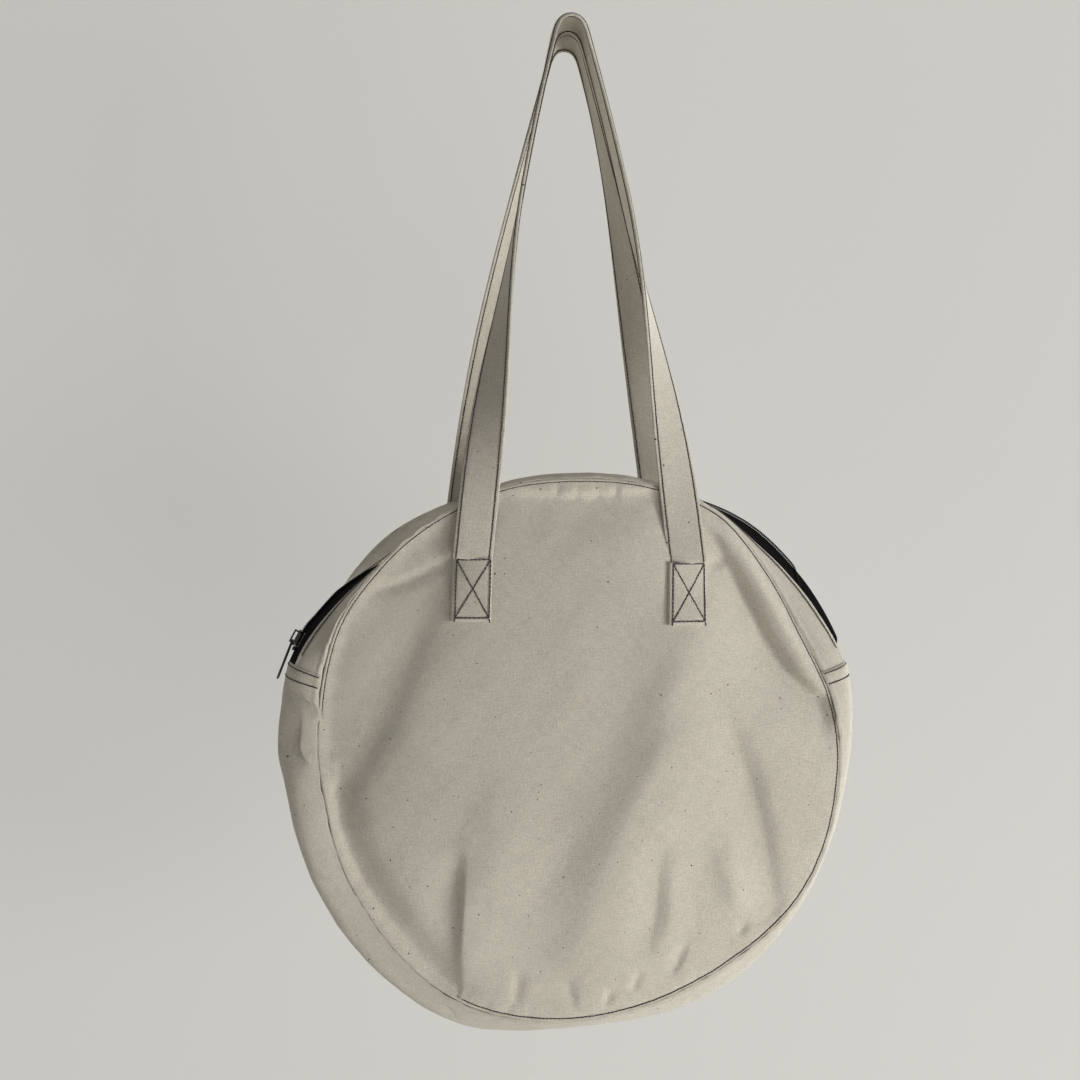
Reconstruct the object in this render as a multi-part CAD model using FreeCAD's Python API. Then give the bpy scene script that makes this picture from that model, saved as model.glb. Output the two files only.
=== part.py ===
import FreeCAD, Part
import math
import os

# Round canvas tote: two round panels joined by a gusset, a curved zip over the top and two
# shoulder straps. Millimetres, +Z up, front towards -Y, origin on the underside of the straps
# at their highest point, where the bag hangs. Hanging, the round bag is an arc along the zip and
# a second arc round the base, which meet at the two ends of the zip.

# Bag body
shoulder_width = 432.0      # one end of the zip to the other, outside the gusset
shoulder_drop = 138.5       # top of the bag down to the ends of the zip
base_drop = 295.0           # ends of the zip down to the bottom of the bag
body_depth = 68.0           # front seam to back seam
gusset_bulge = 20.0         # how far the side wall swells past the seam
front_crown = 16.0          # how far the front panel swells past its seam
back_crown = 6.0            # the same for the flatter back panel
canvas = 1.0                # cloth thickness
seam_allowance = 10.0       # turned-in edge behind each seam
sewn_gap = 0.1              # between layers that are sewn together
fold_gap = 0.3              # between pieces that move past each other
end_overrun = 8.0           # degrees an arc runs on before the zip's end is cut

# Thread
thread = 0.5
seam_stitch_inset = 4.0     # seam to its row of topstitching
zip_stitch_inset = 2.5      # edge of a zip strip to its row
tab_stitch_inset = 1.2      # end of the gusset to the first row across it
tab_stitch_spacing = 9.0    # first row to second row
tab_stitch_margin = 1.5     # row's end to the seam

# Zip
zip_opening = 16.0          # between the edges of the two canvas strips
tape_width = 15.0
tape_thickness = 0.6
teeth_gap = 1.6             # between the two rows, where the slider's post runs
teeth_width = 2.4
teeth_height = 1.6
stop_length = 3.0
stop_height = 1.8
stop_margin = 3.5           # end of the zip to its stop

# Zip slider and pull
slider_length = 13.0
slider_plate = 1.0
slider_wall = 1.0
slider_running = 0.3        # slider to the teeth and tape
slider_corner = 2.0
post_width = 1.0
post_length = 3.0
bridge_width = 2.0
bridge_thickness = 1.2
bridge_setback = 1.2        # end of the slider to the bridge
pull_wire = 1.4
pull_length = 33.0
pull_width = 6.0
pull_corner = 1.2
pull_lift = 1.4             # slider's top to the middle of the pull's wire
pull_play = 0.2             # pull's wire to the bridge
pull_rest_gap = 0.4         # resting pull to the highest part of the zip

# Straps
strap_width = 30.0
strap_thickness = 3.0
strap_spacing = 166.0       # middle to middle of a strap's two legs
strap_drop = 418.0          # hanging point down to the line where a strap folds
strap_end_length = 46.0     # sewn down on the panel
strap_end_margin = 5.0      # outer top corner of a sewn end to the seam allowance
strap_end_stitch_inset = 3.0
strap_stitch_inset = 2.5
strap_stitch_start = 5.0    # fold line to the first stitch
strap_twist_share = 0.7     # share of a leg in which it turns edge-on
hang_radius = 12.0          # inside of the turn at the top of a strap
hang_gap = 2.0              # between the two straps where the bag hangs
leg_steps = 10              # cross-sections along a leg
turn_steps = 8              # and round the turn

Vec = FreeCAD.Vector
across_bag = Vec(1, 0, 0)
through_bag = Vec(0, 1, 0)

# The two arcs of the outline
half_shoulder = shoulder_width / 2
half_height = (shoulder_drop + base_drop) / 2
top_radius = (half_shoulder ** 2 + shoulder_drop ** 2) / (2 * shoulder_drop)
base_radius = (half_shoulder ** 2 + base_drop ** 2) / (2 * base_drop)
crown_rim = min(half_height, base_radius) - gusset_bulge - seam_allowance

# Heights, from the hanging point down
strap_x = strap_spacing / 2
strap_outer_x = strap_x + strap_width / 2
strap_inner_x = strap_x - strap_width / 2
strap_end_top = math.sqrt((crown_rim - strap_end_margin) ** 2 - strap_outer_x ** 2)
strap_fold_rise = strap_end_top - strap_thickness / 2
strap_fold_z = -strap_drop
centre_z = strap_fold_z - strap_fold_rise
fold_z = centre_z + half_height - shoulder_drop
top_middle = centre_z + half_height - top_radius
base_middle = centre_z - half_height + base_radius

# A rail is the height of an arc's middle and the radius of its seam.
top_rail = (top_middle, top_radius - gusset_bulge)
base_rail = (base_middle, base_radius - gusset_bulge)
crown_rail = (centre_z, 0.0)

# Ends of the zip, as angles from straight up
zip_half_angle = math.degrees(math.atan2(half_shoulder, fold_z - top_middle))
base_half_angle = math.degrees(math.atan2(half_shoulder, fold_z - base_middle))
end_angle = math.degrees(math.atan2(half_shoulder, fold_z - centre_z))

# The gusset's cross-section is an arc about a point arc_base above the seam.
seam_y = body_depth / 2 - canvas - sewn_gap
gusset_arc = (seam_y ** 2 + gusset_bulge ** 2) / (2 * gusset_bulge)
arc_base = gusset_bulge - gusset_arc
tape_arc = gusset_arc - canvas - sewn_gap
tape_rise = arc_base + tape_arc
teeth_rise = tape_rise + sewn_gap + teeth_height
stop_rise = tape_rise + sewn_gap + stop_height

# Stops and the slider's closed place, as angles from the top of the bag
stop_outer_angle = zip_half_angle - math.degrees(stop_margin / top_radius)
stop_inner_angle = stop_outer_angle - math.degrees(stop_length / top_radius)
slider_half_angle = math.degrees((slider_length / 2 + slider_running) / top_radius)
slider_angle = stop_inner_angle - slider_half_angle

big = 8 * half_height       # reaches past the whole bag


def point(rail, y, rise):
    return Vec(0, y, rail[0] + rail[1] + rise)


def middle_of(rail):
    return Vec(0, 0, rail[0])


def line(start, end):
    return Part.makeLine(start, end)


def arc(start, middle, end):
    return Part.Arc(start, middle, end).toShape()


def spin(rail, edges, start, end):
    # Turns a profile from the top of an arc about its middle; angles run towards +X.
    face = Part.Face(Part.Wire(edges))
    face.rotate(middle_of(rail), through_bag, start)
    return face.revolve(middle_of(rail), through_bag, end - start)


def thread_ring(rail, y, rise, start, end):
    circle = Part.Circle(point(rail, y, rise), across_bag, thread / 2).toShape()
    return spin(rail, [circle], start, end)


def slab(low, high):
    return Part.makeBox(high.x - low.x, high.y - low.y, high.z - low.z, low)


def above(height):
    return slab(Vec(-big, -big, height), Vec(big, big, height + big))


def below(height):
    return slab(Vec(-big, -big, height - big), Vec(big, big, height))


def zip_wedge(clear):
    # Everything on the zip's side of its two ends, moved up by a clearance
    heart = Vec(0, -big, centre_z + clear / math.sin(math.radians(end_angle)))
    reach_x = big * math.sin(math.radians(end_angle))
    reach_z = big * math.cos(math.radians(end_angle))
    right = heart + Vec(reach_x, 0, reach_z)
    left = heart + Vec(-reach_x, 0, reach_z)
    corners = [heart, right, right + Vec(0, 0, big), left + Vec(0, 0, big), left, heart]
    return Part.Face(Part.makePolygon(corners)).extrude(through_bag * (2 * big))


def back_copy(shape):
    return shape.mirror(Vec(0, 0, 0), through_bag)


# Crowned panels


def crown_ball(crown):
    # Radius of the ball whose cap is the panel's crown
    return (crown_rim ** 2 + crown ** 2) / (2 * crown)


def crown_y(crown, radius, lift=0.0):
    # Depth of the crown's outside, or of a layer lifted off it, on the front
    ball = crown_ball(crown)
    middle = ball - body_depth / 2 - crown
    return middle - math.sqrt((ball + lift) ** 2 - radius ** 2)


def crown_layer(crown, inner_lift, outer_lift):
    ball = crown_ball(crown)
    middle = Vec(0, ball - body_depth / 2 - crown, centre_z)
    outside = Part.makeSphere(ball + outer_lift, middle, through_bag)
    inside = Part.makeSphere(ball + inner_lift, middle, through_bag)
    return outside.cut(inside)


def crown_cap(crown):
    rim_y = -body_depth / 2
    ball = crown_ball(crown)
    inner_y = rim_y + canvas
    inner_rim = math.sqrt((ball - canvas) ** 2 - (ball - crown - canvas) ** 2)
    half = crown_rim / 2
    outer_top = point(crown_rail, crown_y(crown, 0), 0)
    inner_top = point(crown_rail, crown_y(crown, 0, -canvas), 0)
    outer_half = point(crown_rail, crown_y(crown, half), half)
    inner_half = point(crown_rail, crown_y(crown, half, -canvas), half)
    outer_edge = point(crown_rail, rim_y, crown_rim)
    lower_edge = point(crown_rail, inner_y, crown_rim)
    inner_edge = point(crown_rail, inner_y, inner_rim)
    edges = [
        arc(outer_top, outer_half, outer_edge),
        line(outer_edge, lower_edge),
        line(lower_edge, inner_edge),
        arc(inner_edge, inner_half, inner_top),
        line(inner_top, outer_top),
    ]
    return spin(crown_rail, edges, 0, 360)


def panel(crown):
    # A flat rim cut to the two arcs of the seam, with the crown inside it
    rim_y = -body_depth / 2
    seam_top = top_rail[1]
    seam_base = base_rail[1]
    corner_z = seam_base ** 2 - seam_top ** 2 + top_middle ** 2 - base_middle ** 2
    corner_z = corner_z / (2 * (top_middle - base_middle))
    corner_x = math.sqrt(seam_top ** 2 - (corner_z - top_middle) ** 2)
    left = Vec(-corner_x, rim_y, corner_z)
    right = Vec(corner_x, rim_y, corner_z)
    over = arc(left, Vec(0, rim_y, top_middle + seam_top), right)
    under = arc(right, Vec(0, rim_y, base_middle - seam_base), left)
    plate = Part.Face(Part.Wire([over, under])).extrude(through_bag * canvas)
    hole = Part.makeCylinder(crown_rim, canvas, Vec(0, rim_y, centre_z), through_bag)
    return plate.cut(hole).fuse(crown_cap(crown)).removeSplitter()


# Gusset, zip strips and tapes share one arc


def arc_rise(radius, y):
    return arc_base + math.sqrt(radius ** 2 - y ** 2)


def arc_point(rail, radius, y):
    return point(rail, y, arc_rise(radius, y))


def gusset_profile():
    inner = gusset_arc - canvas
    inner_y = seam_y - canvas
    front_edge = point(base_rail, -seam_y, -seam_allowance)
    back_edge = point(base_rail, seam_y, -seam_allowance)
    front_seam = point(base_rail, -seam_y, 0)
    back_seam = point(base_rail, seam_y, 0)
    front_fold = point(base_rail, -inner_y, -seam_allowance)
    back_fold = point(base_rail, inner_y, -seam_allowance)
    front_inside = arc_point(base_rail, inner, -inner_y)
    back_inside = arc_point(base_rail, inner, inner_y)
    return [
        line(front_edge, front_seam),
        arc(front_seam, point(base_rail, 0, gusset_bulge), back_seam),
        line(back_seam, back_edge),
        line(back_edge, back_fold),
        line(back_fold, back_inside),
        arc(back_inside, arc_point(base_rail, inner, 0), front_inside),
        line(front_inside, front_fold),
        line(front_fold, front_edge),
    ]


def strip_profile():
    inner = gusset_arc - canvas
    inner_y = seam_y - canvas
    edge_y = -zip_opening / 2
    front_edge = point(top_rail, -seam_y, -seam_allowance)
    front_seam = point(top_rail, -seam_y, 0)
    front_fold = point(top_rail, -inner_y, -seam_allowance)
    front_inside = arc_point(top_rail, inner, -inner_y)
    outer_zip = arc_point(top_rail, gusset_arc, edge_y)
    inner_zip = arc_point(top_rail, inner, edge_y)
    return [
        line(front_edge, front_seam),
        arc(front_seam, arc_point(top_rail, gusset_arc, (edge_y - seam_y) / 2), outer_zip),
        line(outer_zip, inner_zip),
        arc(inner_zip, arc_point(top_rail, inner, (edge_y - inner_y) / 2), front_inside),
        line(front_inside, front_fold),
        line(front_fold, front_edge),
    ]


def tape_profile():
    inner = tape_arc - tape_thickness
    near = -teeth_gap / 2
    far = near - tape_width
    middle = (near + far) / 2
    outer_far = arc_point(top_rail, tape_arc, far)
    outer_near = arc_point(top_rail, tape_arc, near)
    inner_near = arc_point(top_rail, inner, near)
    inner_far = arc_point(top_rail, inner, far)
    return [
        arc(outer_far, arc_point(top_rail, tape_arc, middle), outer_near),
        line(outer_near, inner_near),
        arc(inner_near, arc_point(top_rail, inner, middle), inner_far),
        line(inner_far, outer_far),
    ]


def block_profile(near, far, top):
    # A bar that stands on the tape, between two depths
    base = tape_rise + sewn_gap
    outline = [(near, base), (far, base), (far, top), (near, top), (near, base)]
    return Part.makePolygon([point(top_rail, y, rise) for y, rise in outline]).Edges


def base_gusset():
    start = base_half_angle - end_overrun
    return spin(base_rail, gusset_profile(), start, 360 - start).cut(zip_wedge(-fold_gap / 2))


def zip_strip():
    span = zip_half_angle + end_overrun
    return spin(top_rail, strip_profile(), -span, span).common(zip_wedge(fold_gap / 2))


def zip_tape():
    span = zip_half_angle + end_overrun
    return spin(top_rail, tape_profile(), -span, span).common(zip_wedge(fold_gap / 2))


def zip_teeth():
    span = stop_inner_angle - math.degrees(slider_running / top_radius)
    profile = block_profile(-teeth_gap / 2, -teeth_gap / 2 - teeth_width, teeth_rise)
    return spin(top_rail, profile, -span, span)


def top_stop():
    profile = block_profile(-teeth_gap / 2, -teeth_gap / 2 - teeth_width, stop_rise)
    return spin(top_rail, profile, -stop_outer_angle, -stop_inner_angle)


def bottom_stop():
    reach = teeth_gap / 2 + teeth_width
    return spin(top_rail, block_profile(-reach, reach, stop_rise), stop_inner_angle, stop_outer_angle)


# Stitching


def seam_stitch_angle(rail, height):
    # Where the row beside a seam comes to a height
    return math.degrees(math.acos((height - rail[0]) / (rail[1] - seam_stitch_inset)))


def seam_stitching(rail):
    y = -body_depth / 2 - sewn_gap - thread / 2
    clear = (fold_gap + thread) / 2
    if rail is top_rail:
        end = seam_stitch_angle(rail, fold_z + clear)
        return thread_ring(rail, y, -seam_stitch_inset, -end, end)
    start = seam_stitch_angle(rail, fold_z - clear)
    return thread_ring(rail, y, -seam_stitch_inset, start, 360 - start)


def zip_edge_stitching():
    row = gusset_arc + sewn_gap + thread / 2
    y = -zip_opening / 2 - zip_stitch_inset
    span = zip_half_angle - math.degrees(zip_stitch_inset / top_radius)
    return thread_ring(top_rail, y, arc_rise(row, y), -span, span)


def tab_row(inset):
    # A row across the right end of the base gusset, square to its edge
    row = gusset_arc + sewn_gap + thread / 2
    reach = math.degrees(math.asin((seam_y - tab_stitch_margin) / gusset_arc))
    arc_middle = point(base_rail, 0, arc_base)
    outside = point(base_rail, 0, arc_base + row)
    section = Part.Face(Part.Wire(Part.Circle(outside, through_bag, thread / 2).toShape()))
    section.rotate(arc_middle, across_bag, -reach)
    across_gusset = section.revolve(arc_middle, across_bag, 2 * reach)
    across_gusset.rotate(outside, through_bag, end_angle - base_half_angle)
    angle = base_half_angle + math.degrees(inset / base_radius)
    across_gusset.rotate(middle_of(base_rail), through_bag, angle)
    return across_gusset


def tab_stitching():
    rows = [tab_row(tab_stitch_inset), tab_row(tab_stitch_inset + tab_stitch_spacing)]
    mirrored = [row.mirror(Vec(0, 0, 0), across_bag) for row in rows]
    return Part.makeCompound(rows + mirrored)


# Slider and pull, made at the top of the bag and turned to the closed end


def zip_place(x, y, rise):
    return Vec(x, y, top_rail[0] + top_rail[1] + rise)


def plate(half_width, low, high):
    half = slider_length / 2
    box = slab(zip_place(-half, -half_width, low), zip_place(half, half_width, high))
    corners = [edge for edge in box.Edges if edge.BoundBox.ZLength > (high - low) / 2]
    return box.makeFillet(slider_corner, corners)


slider_half_width = teeth_gap / 2 + teeth_width + slider_running + slider_wall
slider_rise = stop_rise + slider_running + slider_plate
pivot_x = -(slider_length / 2 - bridge_setback - bridge_thickness - pull_play - pull_wire / 2)
pivot_rise = slider_rise + pull_lift


def slider_body():
    roof_low = slider_rise - slider_plate
    wall_low = tape_rise + slider_running
    tape_inner = tape_arc - tape_thickness
    droop = tape_inner - math.sqrt(tape_inner ** 2 - slider_half_width ** 2)
    droop = droop + slider_length ** 2 / (8 * top_radius)
    floor_top = tape_rise - tape_thickness - slider_running - droop
    half = slider_length / 2
    bridge_end = half - bridge_setback
    bridge_low = pivot_rise + pull_wire / 2 + pull_play
    bridge_top = bridge_low + bridge_thickness
    half_bridge = bridge_width / 2
    wall_inner = slider_half_width - slider_wall
    wall_end = half - slider_corner
    pieces = [plate(slider_half_width, floor_top - slider_plate, floor_top)]
    for side in (-1, 1):
        wall_y = sorted((side * wall_inner, side * slider_half_width))
        wall = zip_place(-wall_end, wall_y[0], wall_low)
        pieces.append(slab(wall, zip_place(wall_end, wall_y[1], slider_rise)))
        foot_x = sorted((side * bridge_end, side * (bridge_end - bridge_thickness)))
        foot = zip_place(foot_x[0], -half_bridge, roof_low)
        pieces.append(slab(foot, zip_place(foot_x[1], half_bridge, bridge_top)))
    bar = zip_place(-bridge_end, -half_bridge, bridge_low)
    pieces.append(slab(bar, zip_place(bridge_end, half_bridge, bridge_top)))
    post = zip_place(-half + slider_corner, -post_width / 2, floor_top - slider_plate)
    pieces.append(slab(post, zip_place(post.x + post_length, post_width / 2, slider_rise)))
    body = plate(slider_half_width, roof_low, slider_rise)
    return body.fuse(pieces).removeSplitter()


def rest_lean(aside, below, far, reach):
    # Lean at which the pull's end comes down to a circle, given where its middle is from the pivot
    away = math.hypot(aside, below)
    return math.atan2(aside, below) + math.asin((away ** 2 + reach ** 2 - far ** 2) / (2 * away * reach))


def pull_loop():
    # A closed wire loop in the plane of the bag's top, with its bar on the pivot
    reach = pull_length - pull_wire
    half = (pull_width - pull_wire) / 2
    bend = pull_corner
    knee = bend * (1 - math.sqrt(0.5))

    def at(along, y):
        return zip_place(pivot_x - along, y, pivot_rise)

    straight = reach - half
    path = [
        line(at(0, -half + bend), at(0, half - bend)),
        arc(at(0, half - bend), at(knee, half - knee), at(bend, half)),
        line(at(bend, half), at(straight, half)),
        arc(at(straight, half), at(reach, 0), at(straight, -half)),
        line(at(straight, -half), at(bend, -half)),
        arc(at(bend, -half), at(knee, -half + knee), at(0, -half + bend)),
    ]
    ring = Part.Wire(Part.Circle(at(0, -half + bend), through_bag, pull_wire / 2).toShape())
    loop = Part.Wire(path).makePipeShell([ring], True, False)
    pivot = top_rail[1] + pivot_rise
    turn = math.radians(slider_angle)
    drop = base_middle - top_middle
    clear = pull_rest_gap + pull_wire / 2
    lean = min(
        rest_lean(0, pivot, top_rail[1] + stop_rise + clear, reach),
        rest_lean(drop * math.sin(turn) - pivot_x, pivot - drop * math.cos(turn), base_radius + clear, reach),
    )
    loop.rotate(at(0, 0), through_bag, -math.degrees(lean))
    return loop


def at_closed_end(shape):
    shape.rotate(middle_of(top_rail), through_bag, -slider_angle)
    return shape


# Strap ends sewn on the panel


def end_outline(x, inset, low_lift, high_lift, crown):
    low = Vec(x - strap_width / 2 + inset, -big, strap_fold_z - strap_end_length + inset)
    high = Vec(x + strap_width / 2 - inset, 0, centre_z + strap_end_top - inset)
    return slab(low, high).common(crown_layer(crown, low_lift, high_lift))


def strap_end(x, crown):
    return end_outline(x, 0, sewn_gap, sewn_gap + strap_thickness, crown)


def stitch_bar(start, end):
    # A thread's width of slab, right through the depth, between two points
    run = end - start
    bar = Part.makeBox(run.Length, big, thread, Vec(0, -big, -thread / 2))
    bar.rotate(Vec(0, 0, 0), through_bag, -math.degrees(math.atan2(run.z, run.x)))
    bar.translate(start)
    return bar


def box_stitching(x, crown):
    half = strap_width / 2 - strap_end_stitch_inset
    low = strap_fold_z - strap_end_length + strap_end_stitch_inset
    high = centre_z + strap_end_top - strap_end_stitch_inset
    corners = [Vec(x - half, 0, low), Vec(x + half, 0, low), Vec(x + half, 0, high), Vec(x - half, 0, high)]
    pairs = [(0, 1), (1, 2), (2, 3), (3, 0), (0, 2), (1, 3)]
    bars = [stitch_bar(corners[first], corners[second]) for first, second in pairs]
    lift = sewn_gap + strap_thickness + sewn_gap
    layer = crown_layer(crown, lift, lift + thread)
    return bars[0].fuse(bars[1:]).common(layer).removeSplitter()


def both_legs(make, crown):
    return Part.makeCompound([make(-strap_x, crown), make(strap_x, crown)])


# Strap loops


def strap_fold_y(crown):
    corner = math.hypot(strap_inner_x, strap_fold_rise - strap_thickness / 2)
    return crown_y(crown, corner, sewn_gap + strap_thickness) - fold_gap - strap_thickness / 2


def ease(share):
    return share * share * (3 - 2 * share)


def leg_place(share, fold_y):
    # Middle, direction and outward face of the left leg, from the fold up to the turn
    turn_x = hang_radius + strap_thickness / 2
    turn_y = -(hang_gap + strap_width) / 2
    rise = -hang_radius - strap_fold_z
    moved = ease(share)
    slope = 6 * share * (1 - share)
    middle = Vec(
        -strap_x + (strap_x - turn_x) * moved,
        fold_y + (turn_y - fold_y) * moved,
        strap_fold_z + rise * share,
    )
    along = Vec((strap_x - turn_x) * slope, (turn_y - fold_y) * slope, rise).normalize()
    twist = math.pi / 2 * ease(min(1.0, share / strap_twist_share))
    facing = Vec(-math.sin(twist), -math.cos(twist), 0)
    facing = (facing - along * facing.dot(along)).normalize()
    return middle, along, facing


def strap_places(fold_y, first_share):
    left = []
    for step in range(leg_steps + 1):
        share = first_share + (1 - first_share) * step / leg_steps
        left.append(leg_place(share, fold_y))
    turn = []
    turn_y = -(hang_gap + strap_width) / 2
    middle_radius = hang_radius + strap_thickness / 2
    for step in range(1, turn_steps):
        angle = math.pi - math.pi * step / turn_steps
        facing = Vec(math.cos(angle), 0, math.sin(angle))
        middle = Vec(0, turn_y, -hang_radius) + facing * middle_radius
        turn.append((middle, Vec(math.sin(angle), 0, -math.cos(angle)), facing))
    right = []
    for middle, along, facing in reversed(left):
        right.append((
            Vec(-middle.x, middle.y, middle.z),
            Vec(along.x, -along.y, -along.z),
            Vec(-facing.x, facing.y, facing.z),
        ))
    return left + turn + right


def ribbon(places, offset, lift, width, thickness):
    sections = []
    for middle, along, facing in places:
        side = along.cross(facing)
        heart = middle + side * offset + facing * lift
        half = side * (width / 2)
        face = facing * (thickness / 2)
        corners = [heart - half - face, heart + half - face, heart + half + face, heart - half + face]
        sections.append(Part.makePolygon(corners + corners[:1]))
    return Part.makeLoft(sections, True, False)


def strap_loop(crown):
    fold_y = strap_fold_y(crown)
    half = strap_thickness / 2
    loop = ribbon(strap_places(fold_y, 0), 0, 0, strap_width, strap_thickness)
    rolls = []
    for x in (-strap_outer_x, strap_inner_x):
        start = Vec(x, fold_y - half, strap_fold_z)
        end = Vec(x, fold_y + half, strap_fold_z)
        bottom = Vec(x, fold_y, strap_fold_z - half)
        roll = Part.Face(Part.Wire([arc(start, bottom, end), line(end, start)]))
        rolls.append(roll.extrude(across_bag * strap_width))
    return loop.fuse(rolls).removeSplitter()


def strap_stitching(crown):
    first = strap_stitch_start / (strap_drop - hang_radius)
    places = strap_places(strap_fold_y(crown), first)
    offset = strap_width / 2 - strap_stitch_inset
    lift = strap_thickness / 2 + sewn_gap + thread / 2
    rows = []
    for side in (-offset, offset):
        for face in (-lift, lift):
            rows.append(ribbon(places, side, face, thread, thread))
    return Part.makeCompound(rows)


def build():
    front = panel(front_crown)
    seam_rows = Part.makeCompound([seam_stitching(top_rail), seam_stitching(base_rail)])
    nodes = {
        "back_panel": back_copy(panel(back_crown)),
        "front_panel_lower": front.common(below(fold_z - fold_gap / 2)),
        "front_panel_upper": front.common(above(fold_z + fold_gap / 2)),
        "base_gusset": base_gusset(),
        "front_zip_strip": zip_strip(),
        "back_zip_strip": back_copy(zip_strip()),
        "front_zip_tape": zip_tape(),
        "back_zip_tape": back_copy(zip_tape()),
        "front_zip_teeth": zip_teeth(),
        "back_zip_teeth": back_copy(zip_teeth()),
        "front_zip_top_stop": top_stop(),
        "back_zip_top_stop": back_copy(top_stop()),
        "zip_bottom_stop": bottom_stop(),
        "zip_slider_body": at_closed_end(slider_body()),
        "zip_pull": at_closed_end(pull_loop()),
        "front_seam_stitching_lower": seam_stitching(base_rail),
        "front_seam_stitching_upper": seam_stitching(top_rail),
        "back_seam_stitching": back_copy(seam_rows),
        "front_zip_edge_stitching": zip_edge_stitching(),
        "back_zip_edge_stitching": back_copy(zip_edge_stitching()),
        "gusset_end_stitching": tab_stitching(),
        "front_strap_end_left": strap_end(-strap_x, front_crown),
        "front_strap_end_right": strap_end(strap_x, front_crown),
        "back_strap_end_left": back_copy(strap_end(-strap_x, back_crown)),
        "back_strap_end_right": back_copy(strap_end(strap_x, back_crown)),
        "front_strap_box_stitching": both_legs(box_stitching, front_crown),
        "back_strap_box_stitching": back_copy(both_legs(box_stitching, back_crown)),
        "front_strap_loop": strap_loop(front_crown),
        "back_strap_loop": back_copy(strap_loop(back_crown)),
        "front_strap_stitching": strap_stitching(front_crown),
        "back_strap_stitching": back_copy(strap_stitching(back_crown)),
    }
    return nodes


os.makedirs("parts", exist_ok=True)
for name, shape in build().items():
    shape.exportStep("parts/" + name + ".step")
    print(name, "solids", len(shape.Solids), "valid", shape.isValid(), "volume", round(shape.Volume, 1))
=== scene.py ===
import math

import bmesh
import bpy
import numpy as np
from mathutils import Matrix, Vector


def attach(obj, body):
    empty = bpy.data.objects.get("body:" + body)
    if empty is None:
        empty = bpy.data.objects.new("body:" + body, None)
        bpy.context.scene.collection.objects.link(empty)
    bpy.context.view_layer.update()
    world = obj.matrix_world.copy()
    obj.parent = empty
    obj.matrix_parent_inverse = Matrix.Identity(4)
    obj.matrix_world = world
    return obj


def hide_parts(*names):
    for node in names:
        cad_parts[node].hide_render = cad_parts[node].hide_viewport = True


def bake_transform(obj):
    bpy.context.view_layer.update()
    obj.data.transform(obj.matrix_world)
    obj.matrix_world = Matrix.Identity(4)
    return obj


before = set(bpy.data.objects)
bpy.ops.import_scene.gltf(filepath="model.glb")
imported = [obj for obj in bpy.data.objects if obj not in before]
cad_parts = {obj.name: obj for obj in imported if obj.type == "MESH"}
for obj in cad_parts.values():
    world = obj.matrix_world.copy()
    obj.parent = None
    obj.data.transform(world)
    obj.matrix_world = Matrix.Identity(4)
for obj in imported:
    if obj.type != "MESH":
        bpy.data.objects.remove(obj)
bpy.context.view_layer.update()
print("frame loaded:", len(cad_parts), "nodes")

# Millimetres in the shaping; metres once a mesh is set, and for the camera, cut sizes and studio.

camera = {
    "place": (-0.0817, -0.8514, -0.403),
    "yaw": -4.0,
    "lens": 36.07,
}


def makeCamera():
    data = bpy.data.cameras.new("photoCamera")
    data.sensor_width = 36
    data.lens = camera["lens"]
    data.clip_start = 0.01
    eye = bpy.data.objects.new("photoCamera", data)
    eye.location = camera["place"]
    eye.rotation_euler = (math.radians(90), 0, math.radians(camera["yaw"]))
    bpy.context.scene.collection.objects.link(eye)
    bpy.context.scene.camera = eye


makeCamera()

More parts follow.
